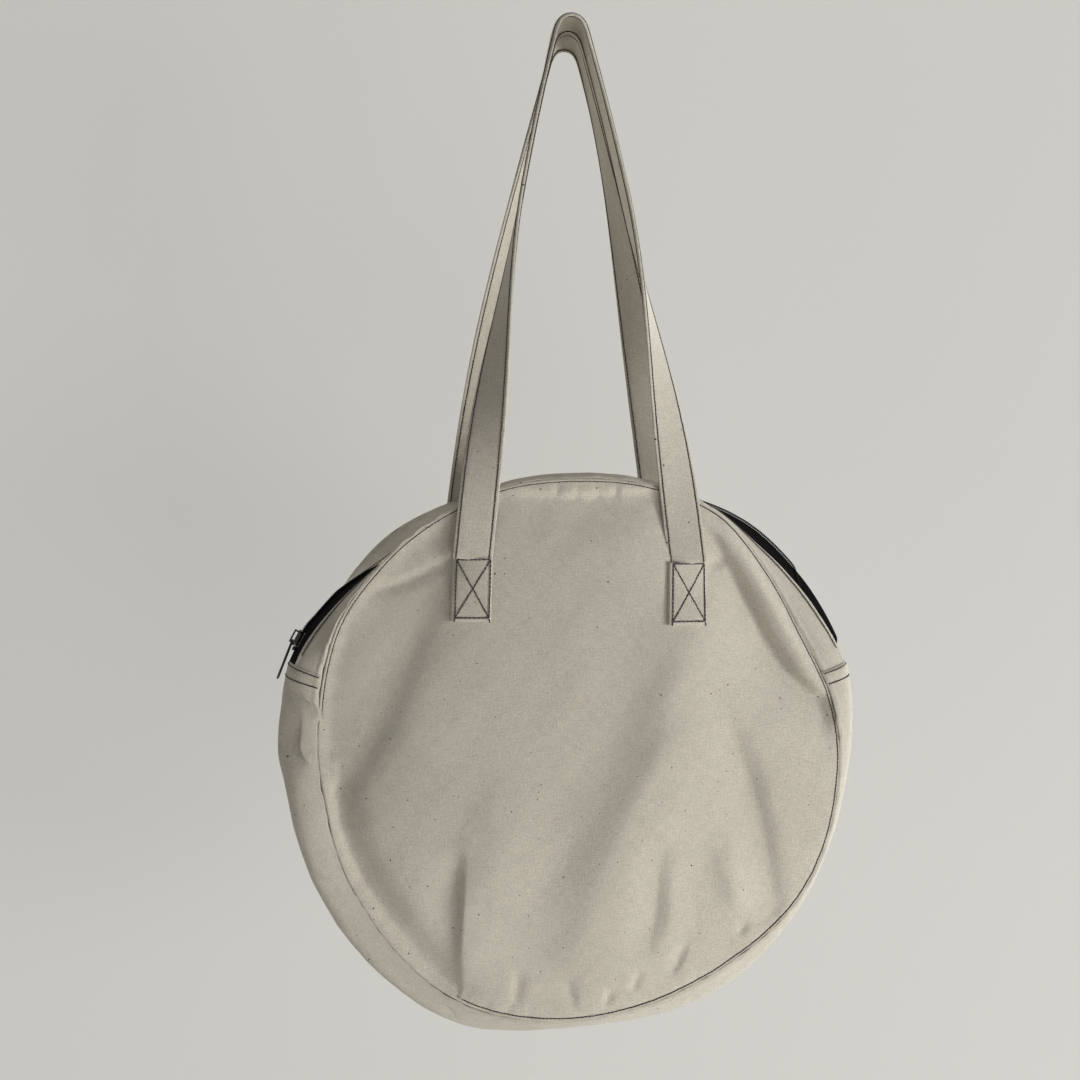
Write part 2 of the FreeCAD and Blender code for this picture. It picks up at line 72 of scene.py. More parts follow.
# The bag's form: rings of places by angle from the top, clockwise seen from the front.
# Each row: angle, then radius and depth of the front seam, front zip edge, back zip edge, back seam.
bagForm = {
    "centreZ": -569.57,
    "smoothing": 3.0,
    "rows": [
        (-169, 201.5, -34, 216.5, -17, 216, 8, 194, 34),
        (-157, 203, -33, 218.5, -26, 218.5, 8, 196, 34),
        (-147, 201, -31, 215.5, -29, 217.5, 8, 197, 34),
        (-138, 197.5, -29, 214, -29, 217.5, 8, 198, 34),
        (-125, 194, -26, 212.8, -27, 217.5, 8, 199, 34),
        (-113, 193, -24, 212.8, -25, 218, 8, 200, 34),
        (-101, 190.5, -22, 213.8, -20, 219, 8, 202, 34),
        (-90, 194, -20, 217.5, -14, 223, 9, 205, 34),
        (-82, 195.5, -20, 222, -10, 226.5, 9, 208, 34),
        (-75, 199, -21, 224, -12, 229, 8, 211, 34.5),
        (-70, 201, -22, 223, -13, 228.5, 8, 212, 35),
        (-64, 204.3, -24.5, 220, -13, 227, 8, 215, 35),
        (-60, 206.5, -26, 216.4, -12, 224, 8.5, 218, 35.5),
        (-56.6, 207.3, -27, 214, -11, 221.5, 9, 220, 36),
        (-50, 207.5, -28.5, 210, -8, 213.5, 11, 222, 36),
        (-45, 208.3, -29.5, 208, -5, 208.5, 12, 223, 36),
        (-40, 209.8, -31, 206, -4, 207, 11, 223.5, 35),
        (-33, 211, -33, 206, -4, 207.5, 11, 221, 36),
        (-25, 212, -35, 207.5, -6, 209, 10, 218, 36),
        (-14, 215, -36, 213.5, -8, 213, 8, 215.5, 38),
        (0, 214.5, -37, 215, -8, 215, 8, 214, 38),
        (16, 218.5, -36, 218.5, -8, 218.5, 8, 216, 38),
        (27, 221.5, -31, 222.5, -6, 223, 9, 218, 37),
        (33, 222, -27, 224.6, -4, 225, 10, 219.5, 37),
        (38, 218, -23, 222.4, -4, 227, 12, 220.5, 38),
        (43, 214.5, -20, 221.6, -4, 229, 12, 221, 38),
        (50, 211, -17, 224, -4, 230.5, 12, 221, 39),
        (56, 208.5, -15, 225.6, -6, 231.5, 11, 221, 38),
        (62, 206.5, -15, 227, -8.5, 232, 10.5, 221, 37),
        (67, 207, -17, 229, -9.5, 232, 10, 220, 36),
        (72, 208.5, -20, 230.5, -10, 231.5, 9, 218, 35),
        (79, 211.5, -26, 231, -8, 231.5, 8, 215, 34),
        (87, 212, -28, 226.5, -8, 227, 8, 212, 34),
        (98, 211, -30, 222, -8, 222.5, 8, 207, 34),
        (108, 211.5, -31, 221, -8, 221, 8, 204, 34),
        (118, 211, -32, 220.5, -8, 220, 8, 202, 34),
        (128, 207.5, -33, 221.5, -8, 221, 8, 200, 34),
        (140, 201.5, -33, 222.5, -8, 221.5, 8, 197, 34),
        (152, 198.5, -34, 221, -8, 220, 8, 195, 34),
        (168, 198.5, -34, 214, -8, 213.5, 8, 193, 34),
        (180, 200, -34, 212.5, -8, 212.5, 8, 193, 34),
    ],
    # Angle, radius and depth of the line where the two rows of zip teeth meet
    "teeth": [
        (-90, 228, 0),
        (-70, 228, 0),
        (-64, 226, 1),
        (-59, 222, 3),
        (-55, 219.5, 4),
        (-50, 213.5, 5),
        (-45, 207.5, 5),
        (-40, 203, 4),
        (-33, 202.5, 4),
        (-25, 205, 3),
        (-14, 211, 0),
        (0, 213, 0),
        (16, 216, 0),
        (24, 220, 1),
        (30, 224.6, 2),
        (34, 227.6, 4),
        (38.5, 230.2, 5),
        (42, 231.5, 6),
        (46, 232.2, 6),
        (52, 232.7, 5),
        (58, 231, 3),
        (63, 229.6, 2),
        (68, 228.2, 0),
        (90, 228.2, 0),
    ],
    "zipEnd": 70.1,
    # Mean radii, for lengths along the cloth
    "radii": {"rim": 205.0, "base": 215.0, "strip": 225.0, "zip": 226.0},
    "bendStart": (0, 0, -0.476),
    "bendEnd": (0, 0, -0.424),
}
centreZ = bagForm["centreZ"]
radii = bagForm["radii"]
sides = ((-1, "front"), (1, "back"))
rimColumn = {-1: 0, 1: 6}
ringAngles = np.arange(-180.0, 180.0, 0.5)


def smoothRing(column):
    rows = np.array(bagForm["rows"], float)
    sharp = np.interp(ringAngles, rows[:, 0], rows[:, column], period=360)
    away = np.minimum(np.arange(720), 720 - np.arange(720)) * 0.5
    kernel = np.exp(-0.5 * (away / bagForm["smoothing"]) ** 2)
    kernel /= kernel.sum()
    return np.real(np.fft.ifft(np.fft.fft(sharp) * np.fft.fft(kernel)))


ringTable = [smoothRing(column) for column in range(1, 9)]


# How far inside the front panel's edge its row of stitching lies, by angle
seamForm = {
    "insets": [(-180, 2.4), (-150, 3.0), (-60, 3.2), (-20, 2.6), (10, 2.2), (30, 1.8), (150, 1.8)],
    "tableInset": 4.0,      # the inset that the table of rings already holds
    "backInset": 3.0,
    "slackFrom": (-158, -148),
    "slackTo": (-86, -76),
    "slackSink": 1.3,       # thread below the cloth where the seam is slack
}


def rise(value, low, high):
    share = np.clip((value - low) / (high - low), 0, 1)
    return share * share * (3 - 2 * share)


def within(value, first, last):
    # 1 between two soft edges, each given by where it begins and ends
    return rise(value, *first) * (1 - rise(value, *last))


def bump(value, middle, width):
    return np.exp(-((value - middle) / width) ** 2)


def profile(near, rows):
    # Rows of height, place and width
    return sum(height * bump(near, middle, width) for height, middle, width in rows)


def stitchInset(side, angle):
    if side > 0:
        return np.full(np.shape(angle), seamForm["backInset"])
    insets = np.array(seamForm["insets"], float)
    return np.interp(angle, insets[:, 0], insets[:, 1], period=360)


def slackSeam(angle):
    # 1 on the lower left, where the seam is loose and its thread sinks into the cloth
    return within(angle, seamForm["slackFrom"], seamForm["slackTo"])


def ring(index, angle):
    value = np.interp(angle, ringAngles, ringTable[index], period=360)
    if index == 0:
        value = value - seamForm["tableInset"] + stitchInset(-1, angle)
    return value


def polarPlace(angle, radius, depth):
    turn = np.radians(angle)
    return np.stack((radius * np.sin(turn), depth, centreZ + radius * np.cos(turn)), axis=-1)


def arcLength(angle, part):
    return angle * math.pi / 180 * radii[part]


def runAlong(line):
    # Length along a line of places, from its start to each of them
    return np.concatenate(([0], np.cumsum(np.linalg.norm(np.diff(line, axis=0), axis=1))))


def ripple(u, v, seed, waves):
    # Seeded soft noise from a few crossing waves; u and v in millimetres
    draw = np.random.default_rng(seed)
    total = np.zeros(np.broadcast(u, v).shape)
    for length in waves:
        for turn in range(3):
            heading = draw.uniform(0, math.pi)
            phase = draw.uniform(0, 2 * math.pi)
            stretch = draw.uniform(0.8, 1.25) * 2 * math.pi / length
            total = total + np.sin(stretch * (u * math.cos(heading) + v * math.sin(heading)) + phase) / 3
    return total / len(waves)


# Gusset section: a smooth curve through the four rings; across runs from 0 to 3.
def sectionPoint(angle, across):
    points = [np.stack((ring(2 * i, angle), ring(2 * i + 1, angle)), axis=-1) for i in range(4)]
    chords = [np.linalg.norm(points[i + 1] - points[i], axis=-1, keepdims=True) for i in range(3)]
    runs = [(points[i + 1] - points[i]) / chords[i] for i in range(3)]
    slopes = [None] * 4
    slopes[1] = (runs[0] * chords[1] + runs[1] * chords[0]) / (chords[0] + chords[1])
    slopes[2] = (runs[1] * chords[2] + runs[2] * chords[1]) / (chords[1] + chords[2])
    slopes[0] = 2 * runs[0] - slopes[1]
    slopes[3] = 2 * runs[2] - slopes[2]
    result = np.zeros(points[0].shape)
    for i in range(3):
        t = np.clip(across - i, 0, 1)[..., None]
        span = chords[i]
        piece = (2 * t**3 - 3 * t**2 + 1) * points[i] + (t**3 - 2 * t**2 + t) * span * slopes[i]
        piece = piece + (3 * t**2 - 2 * t**3) * points[i + 1] + (t**3 - t**2) * span * slopes[i + 1]
        here = (across >= i) & ((across < i + 1) | (i == 2))
        result = np.where(here[..., None], piece, result)
    return result


# Each crease or stroke: depth into the bag, widths to each side of its line,
# share of the depth left at its two ends, and the points of its line.
gussetFolds = {
    "pucker": 0.8,
    "puckerWaves": (70, 34, 21),
    "seamPucker": 0.9,
    "seamWaves": (17, 11),
    "seamReach": 0.35,
    # Height, angle and its width, place across and its width
    "baseDents": [(-3.8, -84, 9, 0.75, 0.5), (3.04, -88, 6, 1.5, 0.4)],
    "stripDents": [(-2.6, -63, 6, 0.5, 0.3), (-2.34, 58, 12, 0.5, 0.3)],
    "topPuff": 3.8,
    "ringStep": 26.0,       # mm across from one ring to the next
    "ringRadius": 212.0,
    # Points by angle and place across (0 to 3)
    "creases": [
        (5, (5, 3), (0.2, 0.6), [(-75.5, 1.0), (-76.6, 0.8), (-78.2, 0.4), (-79.5, 0.05)]),
        (6, (7, 3.2), (0.12, 0.12),
         [(-81, 0.6), (-83.4, 0.65), (-87.5, 0.8), (-90.2, 0.6), (-91.8, 0.15)]),
        (2.6, (3, 3), (0.12, 0.12), [(-87.5, 0.1), (-88.8, 0.5)]),
        (2.6, (3, 5), (0.12, 0.12), [(-97, 0.3), (-100, 0.7)]),
        (3.8, (2.5, 4.5), (0.12, 0.12), [(-109, 0.2), (-113, 0.8)]),
        (2.4, (2.5, 4), (0.12, 0.12), [(-118, 0.25), (-120.5, 0.6)]),
        (3.4, (2.5, 4), (0.12, 0.12), [(-125.5, 0.3), (-128, 0.75)]),
        (2.4, (3, 4), (0.12, 0.12), [(-138, 0.3), (-140, 0.7)]),
        (2.4, (2.5, 4), (0.12, 0.12), [(-152, 0.4), (-155.5, 0.8)]),
        (1.6, (3, 4), (0.12, 0.12), [(152, 0.3), (156, 0.8)]),
        (1.6, (3, 4), (0.12, 0.12), [(128, 0.2), (131, 0.8)]),
    ],
}
perDegree = math.radians(gussetFolds["ringRadius"])     # mm round the bag
gussetCreases = [
    (depth, widths, ends, [(perDegree * a, gussetFolds["ringStep"] * b) for a, b in points])
    for depth, widths, ends, points in gussetFolds["creases"]
]


def dentHeight(angle, across, dents):
    return sum(row[0] * bump(angle, *row[1:3]) * bump(across, *row[3:]) for row in dents)


def gussetRipple(angle, across):
    angle = (angle + 180) % 360 - 180
    width = across * gussetFolds["ringStep"]
    aroundX = radii["base"] * np.sin(np.radians(angle)) + 0.4 * width
    aroundZ = radii["base"] * np.cos(np.radians(angle)) - 0.3 * width
    seamNear = bump(across, 0, gussetFolds["seamReach"]) + bump(across, 3, gussetFolds["seamReach"])
    free = np.sin(np.clip(across / 3, 0, 1) * math.pi)
    onBase = rise(np.abs(angle), 66, 76)
    loose = gussetFolds["pucker"] * free * (0.35 + 0.65 * onBase)
    total = loose * ripple(aroundX, aroundZ, 11, gussetFolds["puckerWaves"])
    tight = gussetFolds["seamPucker"] * seamNear
    total = total + tight * ripple(aroundX, aroundZ, 12, gussetFolds["seamWaves"])
    total = total - strokeDepth(perDegree * angle, width, gussetCreases)
    total = total + dentHeight(angle, across, gussetFolds["baseDents"])
    total = total + dentHeight(angle, across, gussetFolds["stripDents"]) * (1 - onBase)
    puff = bump(across, 0.42, 0.3) * (1 - rise(np.abs(angle - 2), 16, 30))
    return total + gussetFolds["topPuff"] * puff


def gussetBare(angle, across):
    point = sectionPoint(angle, across)
    return polarPlace(angle, point[..., 0] + gussetRipple(angle, across), point[..., 1])


def gussetPlace(angle, across, lift=0.0):
    angle, across = np.broadcast_arrays(np.asarray(angle, float), np.asarray(across, float))
    place = gussetBare(angle, across)
    alongRun = gussetBare(angle + 0.3, across) - gussetBare(angle - 0.3, across)
    low = np.clip(across - 0.03, 0, 3)
    high = np.clip(across + 0.03, 0, 3)
    acrossRun = gussetBare(angle, high) - gussetBare(angle, low)
    normal = np.cross(acrossRun, alongRun)
    normal /= np.linalg.norm(normal, axis=-1, keepdims=True)
    outward = place - np.array((0, 0, centreZ))
    outward[..., 1] *= 0.2
    normal *= np.sign(np.sum(normal * outward, axis=-1, keepdims=True))
    return place + normal * np.asarray(lift)[..., None], normal


# Panels: strokes are soft valleys along a few points (x, z), or crests where the depth is below 0.
panelForm = {
    "frontMiddle": -43.5,
    "backMiddle": 41.0,
    "rimPower": 3.0,
    "rimRoll": 0.9,
    "rimDitch": 0.9,
    "stitchDip": 0.45,
    "rimPucker": 1.0,
    "rimWaves": (24, 15, 10),
    "creaseNoise": 0.8,
    "noiseWaves": (95, 52, 27),
    "frontStrokes": [
        # Slack fold from the left strap down to the rim, and on along the lower left rim
        (8.5, (58, 24), (0.5, 0.5),
         [(-105, -425), (-133, -490), (-151, -532), (-169, -569), (-182, -593)]),
        (9, (8, 14), (0.5, 0.4),
         [(-177, -593), (-173, -626), (-157, -661), (-132, -696), (-107, -726), (-86, -742)]),
        # Crease below the right shoulder and the roll beside it
        (10, (24, 6.5), (0.45, 0.9),
         [(108, -404), (123, -428), (138, -456), (152, -482), (172, -511), (189, -527), (200, -531)]),
        (-7, (7.5, 10), (0.2, 0.3),
         [(118, -393), (136, -419), (157, -454), (175, -486), (193, -514)]),
        # Long soft crest from the right strap down to the left
        (-9, (25, 44), (0.5, 0.45),
         [(95, -474), (76, -530), (68, -564), (46, -609), (30, -645), (18, -675), (8, -714)]),
        # Upright pucker at the lower left, a hollow and its crest
        (3.6, (22, 5), (0.05, 0.6), [(-88, -635), (-90, -672), (-92, -709), (-90, -738)]),
        (-3, (5, 20), (0.05, 0.5), [(-79, -620), (-80, -663), (-82, -693), (-84, -736)]),
        # Puckers at the lower right
        (6, (20, 10), (0.2, 0.5), [(114, -535), (134, -586), (146, -632), (151, -662), (155, -684)]),
        (2.4, (16, 5), (0.12, 0.12), [(64, -636), (62, -662), (60, -690), (54, -722)]),
        (-2, (5, 12), (0.12, 0.12), [(76, -640), (75, -664), (74, -690), (68, -716)]),
        (-4, (9, 14), (0.12, 0.12), [(112, -636), (121, -664), (130, -690)]),
        (2, (5, 3.5), (0.12, 0.12), [(88, -708), (75, -736)]),
        (2, (3, 4), (0.12, 0.12), [(30, -743), (25, -756)]),
        (2, (3, 4), (0.12, 0.12), [(51, -730), (45, -746)]),
        (2, (3, 4), (0.12, 0.12), [(134, -694), (128, -706)]),
        (1.8, (4, 5), (0.12, 0.12), [(-40, -724), (-44, -758)]),
        (1.6, (4, 4), (0.12, 0.12), [(-4, -734), (2, -762)]),
        # Wrinkles from the corners of the sewn straps
        (2.2, (4, 6), (0.5, 0.0), [(-91, -418), (-127, -435), (-161, -445)]),
        (2.2, (3.5, 4), (0.12, 0.12), [(104, -421), (122, -420)]),
        # Under the top seam
        (5, (26, 6), (0.5, 0.5), [(-52, -372), (-10, -376), (20, -375), (60, -371)]),
        (1.6, (2.5, 3), (0.12, 0.12), [(-12, -359), (-13, -373)]),
        (1.8, (2.5, 3), (0.12, 0.12), [(3, -359), (3, -374)]),
        (1.6, (2.5, 3), (0.12, 0.12), [(18, -359), (20, -373)]),
        (1.8, (2.5, 3), (0.12, 0.12), [(33, -359), (33, -371)]),
        # Fuller places
        (-2.5, (18, 30), (0.12, 0.12), [(-51, -553), (-55, -613), (-57, -673), (-55, -718)]),
        (-1.0, (16, 16), (0.12, 0.12), [(-150, -470), (-172, -520), (-186, -570)]),
    ],
    "backStrokes": [
        (8, (26, 34), (0.4, 0.4), [(-104, -440), (-126, -500), (-150, -560), (-176, -610)]),
        (8, (30, 26), (0.4, 0.5), [(100, -440), (112, -520), (138, -580), (172, -622)]),
        (-6, (30, 38), (0.3, 0.3), [(-40, -490), (-22, -560), (-14, -640), (6, -722)]),
        (4.5, (8, 16), (0.05, 0.5), [(60, -640), (64, -690), (62, -748)]),
        (4, (14, 7), (0.05, 0.5), [(-74, -655), (-78, -700), (-74, -744)]),
        (3.5, (7, 12), (0.12, 0.12), [(130, -640), (124, -676), (108, -712)]),
        (3.5, (12, 7), (0.12, 0.12), [(-136, -640), (-130, -672), (-114, -706)]),
        (4, (24, 6), (0.5, 0.5), [(-60, -372), (0, -377), (56, -372)]),
        (2.2, (5, 5), (0.5, 0.0), [(104, -420), (140, -436), (168, -444)]),
        (2.2, (5, 5), (0.5, 0.0), [(-104, -420), (-138, -438)]),
        (2, (3, 4), (0.12, 0.12), [(20, -735), (16, -756)]),
        (2, (3, 4), (0.12, 0.12), [(-20, -738), (-24, -758)]),
    ],
}


def strokeDepth(x, z, strokes):
    total = np.zeros(np.broadcast(x, z).shape)
    for depth, widths, (first, last), points in strokes:
        path = np.array(points, float)
        legs = np.linalg.norm(path[1:] - path[:-1], axis=1)
        ends = np.concatenate(([0], np.cumsum(legs)))
        nearest = np.full(total.shape, 1e9)
        share = np.zeros(total.shape)
        width = np.ones(total.shape)
        for i, leg in enumerate(legs):
            run = (path[i + 1] - path[i]) / leg
            awayX = x - path[i, 0]
            awayZ = z - path[i, 1]
            t = np.clip(awayX * run[0] + awayZ * run[1], 0, leg)
            away = np.hypot(awayX - t * run[0], awayZ - t * run[1])
            flank = rise((run[0] * awayZ - run[1] * awayX) / widths[0], -0.4, 0.4)
            closer = away < nearest
            share = np.where(closer, (ends[i] + t) / ends[-1], share)
            width = np.where(closer, widths[0] * (1 - flank) + widths[1] * flank, width)
            nearest = np.minimum(nearest, away)
        still = first + (last - first) * share
        fade = still + (1 - still) * np.sin(np.clip(share, 0, 1) * math.pi)
        total = total + depth * fade * np.exp(-((nearest / width) ** 2))
    return total


def panelDepth(side, x, z):
    # Depth of the panel's outside at a place; side is -1 for the front and 1 for the back
    angle = np.degrees(np.arctan2(x, z - centreZ))
    radius = np.hypot(x, z - centreZ)
    rim = ring(rimColumn[side], angle)
    rimDepth = ring(rimColumn[side] + 1, angle)
    share = np.clip(radius / rim, 0, 1)
    inset = (1 - share) * rim
    middle = panelForm["frontMiddle"] if side < 0 else panelForm["backMiddle"]
    depth = middle + (rimDepth - middle) * share ** panelForm["rimPower"]
    strokes = panelForm["frontStrokes"] if side < 0 else panelForm["backStrokes"]
    held = 1 - 0.75 * bump(inset, 0, 7)
    inward = strokeDepth(x, z, strokes) * held
    noise = ripple(x * 1.3, z * 0.7, 21 + side, panelForm["noiseWaves"])
    inward = inward + panelForm["creaseNoise"] * held * noise
    pucker = ripple(arcLength(angle, "rim"), inset * 0.2, 24 + side, panelForm["rimWaves"])
    inward = inward + panelForm["rimPucker"] * pucker * bump(inset, 7, 8)
    sewn = stitchInset(side, angle)
    slack = slackSeam(angle) if side < 0 else 0.0
    inward = inward - panelForm["rimRoll"] * (1 - 0.9 * slack) * bump(inset, 0.5 * sewn, 0.4 * sewn)
    inward = inward + panelForm["rimDitch"] * (1 - 0.95 * slack) * bump(inset, 0, 0.7)
    inward = inward + panelForm["stitchDip"] * (1 - 0.8 * slack) * bump(inset, sewn, 0.7)
    return depth - side * inward


def onPanel(side, angle, radius):
    x = radius * np.sin(np.radians(angle))
    z = centreZ + radius * np.cos(np.radians(angle))
    return np.stack((x, panelDepth(side, x, z), z), axis=1)


# Making of cloth pieces
def setMesh(obj, places, flat):
    mesh = obj.data
    mesh.vertices.foreach_set("co", (places / 1000.0).astype(np.float32).ravel())
    layer = mesh.uv_layers.new(name="cut")
    corner = np.zeros(len(mesh.loops), np.int32)
    mesh.loops.foreach_get("vertex_index", corner)
    layer.data.foreach_set("uv", (flat[corner] / 1000.0).astype(np.float32).ravel())
    mesh.polygons.foreach_set("use_smooth", np.ones(len(mesh.polygons), bool))
    mesh.update()


def faceTowards(obj, outward):
    # Turns the whole sheet over if most of its faces look the wrong way
    mesh = obj.data
    total = 0.0
    for face in mesh.polygons:
        total += face.normal.dot(outward(face.center)) * face.area
    if total < 0:
        bm = bmesh.new()
        bm.from_mesh(mesh)
        bmesh.ops.reverse_faces(bm, faces=bm.faces)
        bm.to_mesh(mesh)
        bm.free()


def newPiece(name, bm):
    mesh = bpy.data.meshes.new(name)
    bm.to_mesh(mesh)
    bm.free()
    obj = bpy.data.objects.new(name, mesh)
    bpy.context.scene.collection.objects.link(obj)
    return obj


def newGrid(name, columns, rows):
    bm = bmesh.new()
    bmesh.ops.create_grid(bm, x_segments=columns, y_segments=rows, size=0.5)
    obj = newPiece(name, bm)
    flat = np.zeros(len(obj.data.vertices) * 3)
    obj.data.vertices.foreach_get("co", flat)
    flat = flat.reshape(-1, 3)
    u = flat[:, 0] - flat[:, 0].min()
    v = flat[:, 1] - flat[:, 1].min()
    return obj, u / u.max(), v / v.max()


def weldTube(obj):
    # Closes a rolled-up grid along its seam and at its ends
    bm = bmesh.new()
    bm.from_mesh(obj.data)
    bmesh.ops.remove_doubles(bm, verts=bm.verts, dist=1e-6)
    bmesh.ops.holes_fill(bm, edges=[edge for edge in bm.edges if edge.is_boundary], sides=0)
    bmesh.ops.recalc_face_normals(bm, faces=bm.faces)
    bm.to_mesh(obj.data)
    bm.free()


def thicken(obj, thickness):
    solid = obj.modifiers.new("clothThickness", "SOLIDIFY")
    solid.thickness = thickness / 1000.0
    solid.offset = -1
    solid.use_even_offset = False


def finishPiece(obj, material):
    obj.data.materials.clear()
    obj.data.materials.append(material)


def rideSide(obj, side):
    # Front pieces stay where they are made, back ones go with the bag
    if side < 0:
        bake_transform(obj)
    else:
        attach(obj, "bag")


def panelWay(side):
    return lambda point: Vector((0, side, 0))


def outWay(point):
    return Vector((point.x, point.y * 0.3, point.z - centreZ / 1000.0))


# Shared effects
def newGroup(name, inputs, outputs):
    group = bpy.data.node_groups.new(name, "ShaderNodeTree")
    for label, kind, value in inputs:
        socket = group.interface.new_socket(label, in_out="INPUT", socket_type=kind)
        if value is not None:
            socket.default_value = value
    for label, kind in outputs:
        group.interface.new_socket(label, in_out="OUTPUT", socket_type=kind)
    return group, group.nodes.new("NodeGroupInput"), group.nodes.new("NodeGroupOutput")


def setSockets(tree, node, values):
    # Each socket takes a plain value, or a link from another node's socket
    for key, value in values.items():
        if isinstance(value, (tuple, float, int)):
            node.inputs[key].default_value = value
        else:
            tree.links.new(value, node.inputs[key])


def addNode(tree, kind, sockets=None, settings=None):
    node = tree.nodes.new(kind)
    for key, value in (settings or {}).items():
        setattr(node, key, value)
    setSockets(tree, node, sockets or {})
    return node


def addMath(tree, operation, *values):
    return addNode(tree, "ShaderNodeMath", dict(enumerate(values)), {"operation": operation}).outputs[0]


def addGroup(tree, group, sockets):
    return addNode(tree, "ShaderNodeGroup", sockets, {"node_tree": group}).outputs


def addMix(tree, first, second, factor, blend="MIX"):
    settings = {"data_type": "RGBA", "blend_type": blend}
    return addNode(tree, "ShaderNodeMix", {6: first, 7: second, 0: factor}, settings).outputs[2]


def addNoise(tree, spot, scale, detail, roughness=0.5):
    sockets = {"Vector": spot, "Scale": scale, "Detail": detail, "Roughness": roughness}
    return addNode(tree, "ShaderNodeTexNoise", sockets).outputs["Fac"]


def remap(tree, value, low, high, first=0.0, last=1.0):
    sockets = {"Value": value, "From Min": low, "From Max": high, "To Min": first, "To Max": last}
    return addNode(tree, "ShaderNodeMapRange", sockets).outputs["Result"]


def addBump(tree, height, strength, distance, under=None):
    sockets = {"Height": height, "Strength": strength, "Distance": distance}
    if under is not None:
        sockets["Normal"] = under
    return addNode(tree, "ShaderNodeBump", sockets).outputs["Normal"]


weave = {
    "twill": 0.95,      # mm from one diagonal rib to the next
    "yarn": 0.5,
    # mm from one cell to the next, size in the cell, share of the cells
    "flecks": (6.5, 0.08, 0.48),
    "crumbs": (3.4, 0.08, 0.4),
}


def makeWeaveGroup():
    group, given, out = newGroup(
        "clothWeave",
        [("Vector", "NodeSocketVector", None), ("Rib", "NodeSocketFloat", 1.0)],
        [("Height", "NodeSocketFloat"), ("Yarn", "NodeSocketFloat")],
    )
    spot = given.outputs["Vector"]
    split = addNode(group, "ShaderNodeSeparateXYZ", {"Vector": spot}).outputs
    shift = addMath(group, "MULTIPLY", addNoise(group, spot, 420.0, 2.0), 0.9)
    diagonal = addMath(group, "ADD", split["X"], split["Y"])
    diagonal = addMath(group, "MULTIPLY", diagonal, 2000 * math.pi / (weave["twill"] * 1.414))
    rib = addMath(group, "SINE", addMath(group, "ADD", diagonal, shift))
    yarnTurn = 2000 * math.pi / weave["yarn"]
    warp = addMath(group, "SINE", addMath(group, "MULTIPLY", split["X"], yarnTurn))
    weft = addMath(group, "SINE", addMath(group, "MULTIPLY", split["Y"], yarnTurn))
    height = addMath(group, "MULTIPLY", rib, given.outputs["Rib"])
    height = addMath(group, "MULTIPLY_ADD", addMath(group, "MULTIPLY", warp, weft), 0.3, height)
    slub = addNoise(group, spot, 150.0, 4.0, 0.65)
    height = addMath(group, "MULTIPLY_ADD", slub, 2.2, height)
    group.links.new(height, out.inputs["Height"])
    group.links.new(slub, out.inputs["Yarn"])
    return group


def makeFleckGroup():
    group, given, out = newGroup(
        "seedFlecks",
        [
            ("Vector", "NodeSocketVector", None),
            ("Cell", "NodeSocketFloat", 66.0),
            ("Size", "NodeSocketFloat", 0.03),
            ("Share", "NodeSocketFloat", 0.5),
        ],
        [("Mask", "NodeSocketFloat")],
    )
    given = given.outputs
    spot = given["Vector"]
    wander = addNode(group, "ShaderNodeTexNoise", {"Vector": spot, "Scale": 900.0, "Detail": 1.0})
    shift = {"Vector": wander.outputs["Color"], "Scale": 0.0009}
    shift = addNode(group, "ShaderNodeVectorMath", shift, {"operation": "SCALE"}).outputs[0]
    moved = addNode(group, "ShaderNodeVectorMath", {0: spot, 1: shift}, {"operation": "ADD"}).outputs[0]
    cells = {"Vector": moved, "Scale": given["Cell"], "Randomness": 1.0}
    cells = addNode(group, "ShaderNodeTexVoronoi", cells, {"feature": "F1"}).outputs
    chance = addNode(group, "ShaderNodeSeparateColor", {"Color": cells["Color"]}).outputs
    size = addMath(group, "MULTIPLY", given["Size"], addMath(group, "ADD", chance["Green"], 0.35))
    inside = addMath(group, "LESS_THAN", cells["Distance"], size)
    chosen = addMath(group, "LESS_THAN", chance["Red"], given["Share"])
    group.links.new(addMath(group, "MULTIPLY", inside, chosen), out.inputs["Mask"])
    return group


weaveGroup = makeWeaveGroup()
fleckGroup = makeFleckGroup()


def newMaterial(name):
    material = bpy.data.materials.new(name)
    material.use_nodes = True
    return material, material.node_tree, material.node_tree.nodes["Principled BSDF"]


def clothSpot(tree):
    return addNode(tree, "ShaderNodeUVMap", settings={"uv_map": "cut"}).outputs["UV"]


def objectSpot(tree):
    return addNode(tree, "ShaderNodeTexCoord").outputs["Object"]


canvasLook = {
    "pale": (0.49, 0.453, 0.378, 1),
    "deep": (0.445, 0.41, 0.338, 1),
    "fleck": (0.075, 0.055, 0.04, 1),
    "crumb": (0.2, 0.16, 0.115, 1),
    "roughness": 0.92,
    "weaveDepth": 0.00012,
    "crumpleDepth": 0.0008,
}


def addFlecks(tree, spot, kind):
    cell, size, share = weave[kind]
    sockets = {"Vector": spot, "Cell": 1000 / cell, "Size": size, "Share": share}
    return addGroup(tree, fleckGroup, sockets)["Mask"]


